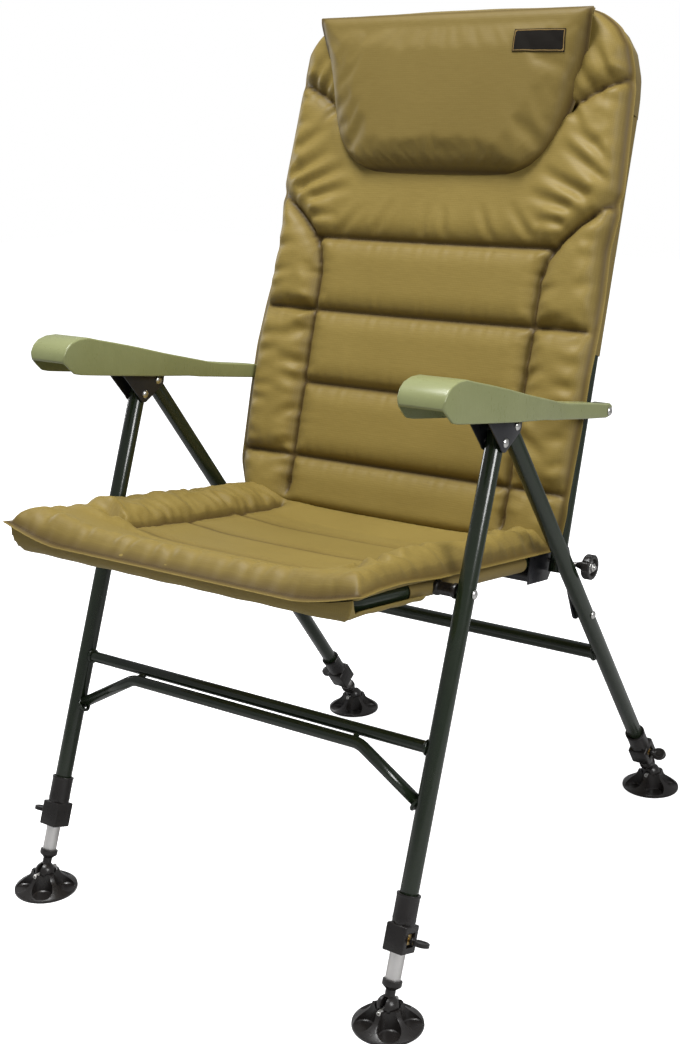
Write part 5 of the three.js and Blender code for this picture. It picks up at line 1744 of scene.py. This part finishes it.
    @staticmethod
    def back_half(h: np.ndarray) -> np.ndarray:
        """Half the back pad's width."""
        known = [0.0, 0.060, 0.170, 0.195, 0.290, 0.390, 0.450, 0.540, 0.600, 0.640, 0.662, 0.676, 0.684, 0.690]
        wide = [0.246, 0.257, 0.260, 0.260, 0.260, 0.255, 0.262, 0.257, 0.254, 0.244, 0.229, 0.211, 0.195, 0.172]
        notch = 0.0045 * np.exp(-(((h - 0.448) / 0.008) ** 2)) + 0.0022 * np.exp(-(((h - 0.600) / 0.007) ** 2))
        return np.interp(h, known, wide) - notch

    @staticmethod
    def hood_half(h: np.ndarray) -> np.ndarray:
        """Half the width of the pocket behind the top of the back."""
        known = [0.560, 0.585, 0.610, 0.640, 0.662, 0.676, 0.688]
        return np.interp(h, known, [0.2530, 0.2520, 0.2495, 0.2400, 0.2250, 0.2080, 0.1830])

    def back_pad(self) -> None:
        """The back pad: side bolsters, four channels, and the shaped top panel."""
        flare = SeamLine((
            (0.170, 0.030), (0.170, 0.345), (0.176, 0.372), (0.190, 0.394), (0.214, 0.418), (0.250, 0.446),
        ))
        shoulder = SeamLine(((0.244, 0.600), (0.205, 0.582), (0.160, 0.553)))
        seams = [flare, flare.mirrored(), shoulder, shoulder.mirrored()]
        for h, reach in ((0.083, 0.245), (0.185, 0.170), (0.287, 0.245), (0.388, 0.188)):
            seams.append(SeamLine(((-reach, h), (reach, h))))

        def floor(x: np.ndarray, h: np.ndarray) -> np.ndarray:
            """The side towards the sling."""
            hang = -0.010 * np.clip(1 - (x / 0.22) ** 2, 0, 1)
            return 0.0125 + hang * np.clip((0.566 - h) / 0.08, 0, 1)

        def loft(x: np.ndarray, h: np.ndarray) -> np.ndarray:
            """How far the stuffing stands out."""
            bolster = np.clip((np.abs(x) - 0.160) / 0.012, 0, 1) * np.clip((0.46 - h) / 0.05, 0, 1)
            return 0.016 + bolster * 0.004 + 0.006 * np.clip((h - 0.56) / 0.08, 0, 1)

        def edge(x: np.ndarray, h: np.ndarray) -> np.ndarray:
            """The hem's distance from the stiles' plane."""
            low = np.clip((0.33 - h) / 0.10, 0, 1) * np.clip((h - 0.02) / 0.05, 0, 1)
            return 0.019 + 0.012 * low + 0.012 * np.clip((h - 0.60) / 0.05, 0, 1)

        pad = Quilt(
            "back_cushion", BACK, 0.010, 0.690, self.back_half, seams, floor, loft, edge,
            roll=0.026, seam_roll=0.032, start_steep=1.8, thickness=0.013,
            creases=self.back_creases(), crease_strength=2.3, slack=0.035, cap=0.010,
        )
        self.flatten_with_back(self.padded(pad, self.wardrobe.back_cloth, "back_frame", "back_pad"))

    def headrest(self) -> None:
        """The headrest pillow."""

        def half(h: np.ndarray) -> np.ndarray:
            """Half the pillow's width."""
            known = [0.476, 0.480, 0.488, 0.502, 0.523, 0.552, 0.590, 0.630, 0.660, 0.678]
            wide = [0.098, 0.115, 0.134, 0.151, 0.166, 0.177, 0.187, 0.196, 0.202, 0.2045]
            return np.interp(h, known, wide)

        def floor(x: np.ndarray, h: np.ndarray) -> np.ndarray:
            """The side towards the back pad."""
            return 0.034 + 0.018 * np.clip((h - 0.50) / 0.17, 0, 1)

        def loft(x: np.ndarray, h: np.ndarray) -> np.ndarray:
            """How far the pillow stands out."""
            return np.full_like(x, 0.0155)

        def edge(x: np.ndarray, h: np.ndarray) -> np.ndarray:
            """The seam's distance from the stiles' plane."""
            return 0.033 + 0.0345 * np.clip((h - 0.60) / 0.07, 0, 1)

        random = np.random.default_rng(5)
        folds = []
        for x in np.arange(-0.12, 0.13, 0.03):
            x0 = x + random.uniform(-0.01, 0.01)
            end = (x0 * 1.1, 0.515 + random.uniform(0, 0.02))
            folds.append(Crease((x0, 0.486), end, random.uniform(0.001, 0.002), 0.004))
        for start, end in (
            ((-0.17, 0.55), (-0.10, 0.60)), ((-0.14, 0.50), (-0.09, 0.56)),
            ((0.15, 0.51), (0.10, 0.57)), ((0.185, 0.60), (0.12, 0.62)),
        ):
            folds.append(Crease(start, end, 0.0022, 0.007))
        pad = Quilt(
            "headrest_pillow", BACK, 0.476, 0.678, half, [], floor, loft, edge,
            roll=0.026, finish_steep=2.0, creases=folds, crease_strength=0.4, ripple=0.0005, cell=0.005,
            hem=0.003, still=lambda x, h: h > 0.655, pressure=2.0, slack=0.008, cap=0.006,
        )
        self.flatten_with_back(self.padded(pad, self.wardrobe.head_cloth, "back_frame", "headrest"))

    def flap(self) -> None:
        """The cloth from the pillow's top edge over the top of the back and down behind it."""
        path = np.array([
            (0.6710, 0.0655), (0.6755, 0.0668), (0.6790, 0.0625), (0.6830, 0.0530), (0.6868, 0.0430),
            (0.6900, 0.0370), (0.6922, 0.0300), (0.6938, 0.0200), (0.6948, 0.0080), (0.6942, -0.0030),
            (0.6912, -0.0110), (0.6850, -0.0155), (0.6700, -0.0170), (0.6300, -0.0172), (0.5900, -0.0170),
            (0.5500, -0.0165),
        ])
        spans = np.concatenate([[0.0], np.cumsum(np.hypot(*np.diff(path, axis=0).T))])
        flap, co = Bench.grid(60, 48)
        s = (co[:, 1] / 2 + 0.5) * spans[-1]
        h, depth = np.interp(s, spans, path[:, 0]), np.interp(s, spans, path[:, 1])
        x = co[:, 0] * (0.2035 - 0.040 * np.clip((s - 0.010) / 0.045, 0, 1))
        rise = depth - 0.0006 * np.sin(x * 60 + s * 30)
        write(flap, BACK.place(x, h + 0.0012 * np.cos(x * 15) - 0.0008, rise))
        # A hem 5 mm in from the flap's sides and lower end, where the cloth gets stitches and painted shade.
        keep(flap, "seam_gap", np.abs(np.minimum(0.2020 - np.abs(x), spans[-1] - s) - 0.005))
        keep(flap, "seam_run", x + s)
        Bench.thicken(flap, "headrest_flap", 0.0012)
        dress(flap, self.wardrobe.head_cloth, "back_frame")
        self.flatten_with_back(flap)

    def label(self) -> None:
        """The bare label patch, laid on the pillow's front."""
        piece, co = Bench.grid(36, 14)
        pillow = bpy.data.objects["headrest_pillow"]
        half = np.array([0.0345, 0.0138])
        local = co[:, :2] * half
        gap = (half - np.abs(local)).min(1)
        front, up = PLAN.back_front, PLAN.back_up
        where = []
        for x, h in local:
            spot = PLAN.hinge + up * (0.636 + h) + X * (0.139 + x)
            hit, place, _, _ = pillow.ray_cast(spot + front * 0.3, -front)
            where.append((place if hit else spot + front * 0.07) + front * 0.0004)
        write(piece, np.array(where))
        keep(piece, "edge_gap", gap)
        Bench.thicken(piece, "label_blank", 0.0009, 1.0, 50.0)
        dress(piece, self.wardrobe.patch, "back_frame", "label_patch")
        self.flatten_with_back(piece)

    def pockets(self) -> None:
        """The cloth pockets that hold the pads on to the ends of their frames."""

        def toe_half(d: np.ndarray) -> np.ndarray:
            """Half the width of the pocket over the seat's front bar."""
            return 0.2315 + 0.014 * np.clip((d - 0.425) / 0.045, 0, 1) ** 2

        def toe_rim(x: np.ndarray, d: np.ndarray) -> np.ndarray:
            """The height of its edge."""
            return -0.004 + (0.005 + 0.016 * self.seat_corner(x)) * np.clip((d - 0.450) / 0.014, 0, 1)

        def hood_rim(x: np.ndarray, h: np.ndarray) -> np.ndarray:
            """How far the edge of the pocket behind the back's top comes forward."""
            return 0.0176 + 0.0098 * np.clip((h - 0.60) / 0.05, 0, 1)

        hood = Pocket("back_pocket", BACK, 0.560, 0.688, self.hood_half, -0.0128, hood_rim, wrap=0.008)
        toe = Pocket("seat_pocket", SEAT, 0.305, 0.4695, toe_half, -0.0128, toe_rim)
        for pocket, cloth, frame in (
            (hood, self.wardrobe.sling_back, "back"), (toe, self.wardrobe.seat_cloth, "seat"),
        ):
            piece = pocket.build()
            keep(piece, "seam_gap", np.full(len(piece.data.vertices), 1.0))
            keep(piece, "seam_run", np.zeros(len(piece.data.vertices)))
            pocket.cut()
            dress(piece, cloth, f"{frame}_frame")
            if pocket is hood:
                self.flatten_with_back(piece, 0.85)

    def slings(self) -> None:
        """The woven slings under the seat and behind the back, sleeved round their tubes."""
        under, behind = self.wardrobe.sling_seat, self.wardrobe.sling_back
        for frame, rail, plane, start, length, hang, cloth in (
            ("seat", PLAN.rail_x, SEAT, 0.060, 0.270, lambda x: self.seat_hang(x) + 0.0008, under),
            ("back", PLAN.stile_x, BACK, 0.262, 0.304, self.back_hang, behind),
        ):
            line = self.path(rail, hang)
            piece = self.sling(f"{frame}_sling_cloth", line, plane, start, length)
            dress(piece, cloth, f"{frame}_frame", f"{frame}_sling")

    @staticmethod
    def back_hang(x: np.ndarray) -> np.ndarray:
        """How far the back sling gives between the stiles."""
        return 0.011 * (1 - (x / PLAN.stile_x) ** 2)

    def path(self, rail: float, hang: Reach) -> np.ndarray:
        """The sling's section: round one tube, across, and round the other."""
        r = 0.0111
        turns = np.linspace(math.radians(250), math.radians(-8), 22)
        arc = [(rail + r * math.sin(a), r * math.cos(a)) for a in turns]
        middle = [(t * rail, r - float(hang(np.array([t * rail]))[0])) for t in np.linspace(0.97, -0.97, 46)]
        other = [(-x, z) for x, z in reversed(arc)]
        return np.array(arc + middle + other)

    @staticmethod
    def sling(name: str, line: np.ndarray, plane: Plane, start: float, length: float) -> bpy.types.Object:
        """A thin sheet whose sides wrap round two tubes.

        Args:
            name: The piece's name.
            line: Its section.
            plane: The plane of the tubes.
            start: Where the sheet starts along them.
            length: How long it is.

        Returns:
            The sheet.
        """
        piece, co = Bench.grid(len(line) - 1, 48)
        u = np.round((co[:, 0] / 2 + 0.5) * (len(line) - 1)).astype(int)
        d = (co[:, 1] / 2 + 0.5) * length + start
        write(piece, plane.place(line[u, 0], d, line[u, 1]))
        return Bench.thicken(piece, name, 0.0009)


# Studio


@dataclass
class Studio:
    """The camera, lights, floor and world."""

    eye: Vector = field(default_factory=lambda: Vector((1.0481, -1.5435, 0.9879)))
    yaw: float = math.radians(35.176)
    pitch: float = math.radians(16.064)
    roll: float = math.radians(-0.721)
    lens: float = 51.36

    def build(self) -> None:
        """Sets the studio up."""
        self.camera()
        self.lights()
        self.world()
        self.floor()
        bpy.context.scene.view_settings.view_transform = "Standard"

    def camera(self) -> None:
        """The photograph's camera."""
        level = Vector((-math.sin(self.yaw), math.cos(self.yaw), 0))
        forward = level * math.cos(self.pitch) - Vector((0, 0, math.sin(self.pitch)))
        right = Vector((math.cos(self.yaw), math.sin(self.yaw), 0))
        up = right.cross(forward)
        c, s = math.cos(self.roll), math.sin(self.roll)
        turn = Matrix((right * c + up * s, up * c - right * s, -forward)).transposed()
        Bench.clear()
        bpy.ops.object.camera_add()
        camera = bpy.context.object
        camera.matrix_world = Matrix.Translation(self.eye) @ turn.to_4x4()
        camera.data.lens = self.lens
        camera.data.sensor_width = 36.0
        camera.data.clip_end = 50.0
        bpy.context.scene.camera = camera

    def lamp(self, place: Vector, target: Vector, size: float, watts: float) -> None:
        """A square soft box."""
        bpy.ops.object.light_add(type="AREA", location=place)
        lamp = bpy.context.object
        lamp.rotation_euler = (target - place).to_track_quat("-Z", "Y").to_euler()
        lamp.data.size = size
        lamp.data.energy = watts

    def lights(self) -> None:
        """A broad key from above, and softer fills from both sides."""
        middle = Vector((0, 0, 0.55))
        for place, size, watts in (
            ((-0.2, -0.70, 3.1), 1.0, 84.0), ((2.6, -0.6, 1.9), 0.9, 44.0), ((-2.4, 0.4, 1.2), 0.6, 10.0),
        ):
            self.lamp(Vector(place), middle, size, watts)

    @staticmethod
    def split(
        tree: bpy.types.NodeTree, seen: bpy.types.Node, unseen: bpy.types.Node, output: bpy.types.Node
    ) -> None:
        """Shows one shader to the camera and another to every other ray."""
        path = tree.nodes.new("ShaderNodeLightPath")
        mix = tree.nodes.new("ShaderNodeMixShader")
        tree.links.new(path.outputs["Is Camera Ray"], mix.inputs[0])
        tree.links.new(unseen.outputs[0], mix.inputs[1])
        tree.links.new(seen.outputs[0], mix.inputs[2])
        tree.links.new(mix.outputs[0], output.inputs[0])

    def world(self) -> None:
        """A plain dome: soft light on the object, white to the camera."""
        world = bpy.data.worlds.new("studio")
        bpy.context.scene.world = world
        world.use_nodes = True
        tree = world.node_tree
        tree.nodes.clear()
        soft = tree.nodes.new("ShaderNodeBackground")
        white = tree.nodes.new("ShaderNodeBackground")
        for shade, colour, strength in ((soft, (0.97, 0.98, 1.0, 1.0), 0.33), (white, (1, 1, 1, 1), 1.0)):
            shade.inputs[0].default_value = colour
            shade.inputs[1].default_value = strength
        self.split(tree, white, soft, tree.nodes.new("ShaderNodeOutputWorld"))

    def floor(self) -> None:
        """A pale floor, which keeps the chair's shadow."""
        Bench.clear()
        bpy.ops.mesh.primitive_plane_add(size=14.0, location=(0, 0, 0))
        floor = Bench.settle(bpy.context.object, "floor")
        material = bpy.data.materials.new("floor_white")
        material.use_nodes = True
        tree = material.node_tree
        seen = tree.nodes["Principled BSDF"]
        bounce = tree.nodes.new("ShaderNodeBsdfPrincipled")
        for surface, grey in ((seen, 0.93), (bounce, 0.45)):
            surface.inputs["Base Color"].default_value = (grey, grey, grey, 1.0)
            surface.inputs["Roughness"].default_value = 0.9
            surface.inputs["Specular IOR Level"].default_value = 0.1
        seen.inputs["Emission Color"].default_value = (1.0, 1.0, 1.0, 1.0)
        seen.inputs["Emission Strength"].default_value = 0.85
        self.split(tree, seen, bounce, tree.nodes["Material Output"])
        floor.data.materials.append(material)


def main() -> None:
    """Loads the frame, dresses it and finishes."""
    logging.basicConfig(level=logging.INFO)
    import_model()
    wardrobe = Wardrobe()
    TubeFrame(wardrobe).build()
    Fastenings(wardrobe).build()
    Armrest(wardrobe).build()
    for side in Side:
        for end in End:
            LegEnd(wardrobe, side, end).build()
    Upholstery(wardrobe, simulate=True).build()
    Studio().build()


if __name__ == "__main__":
    main()
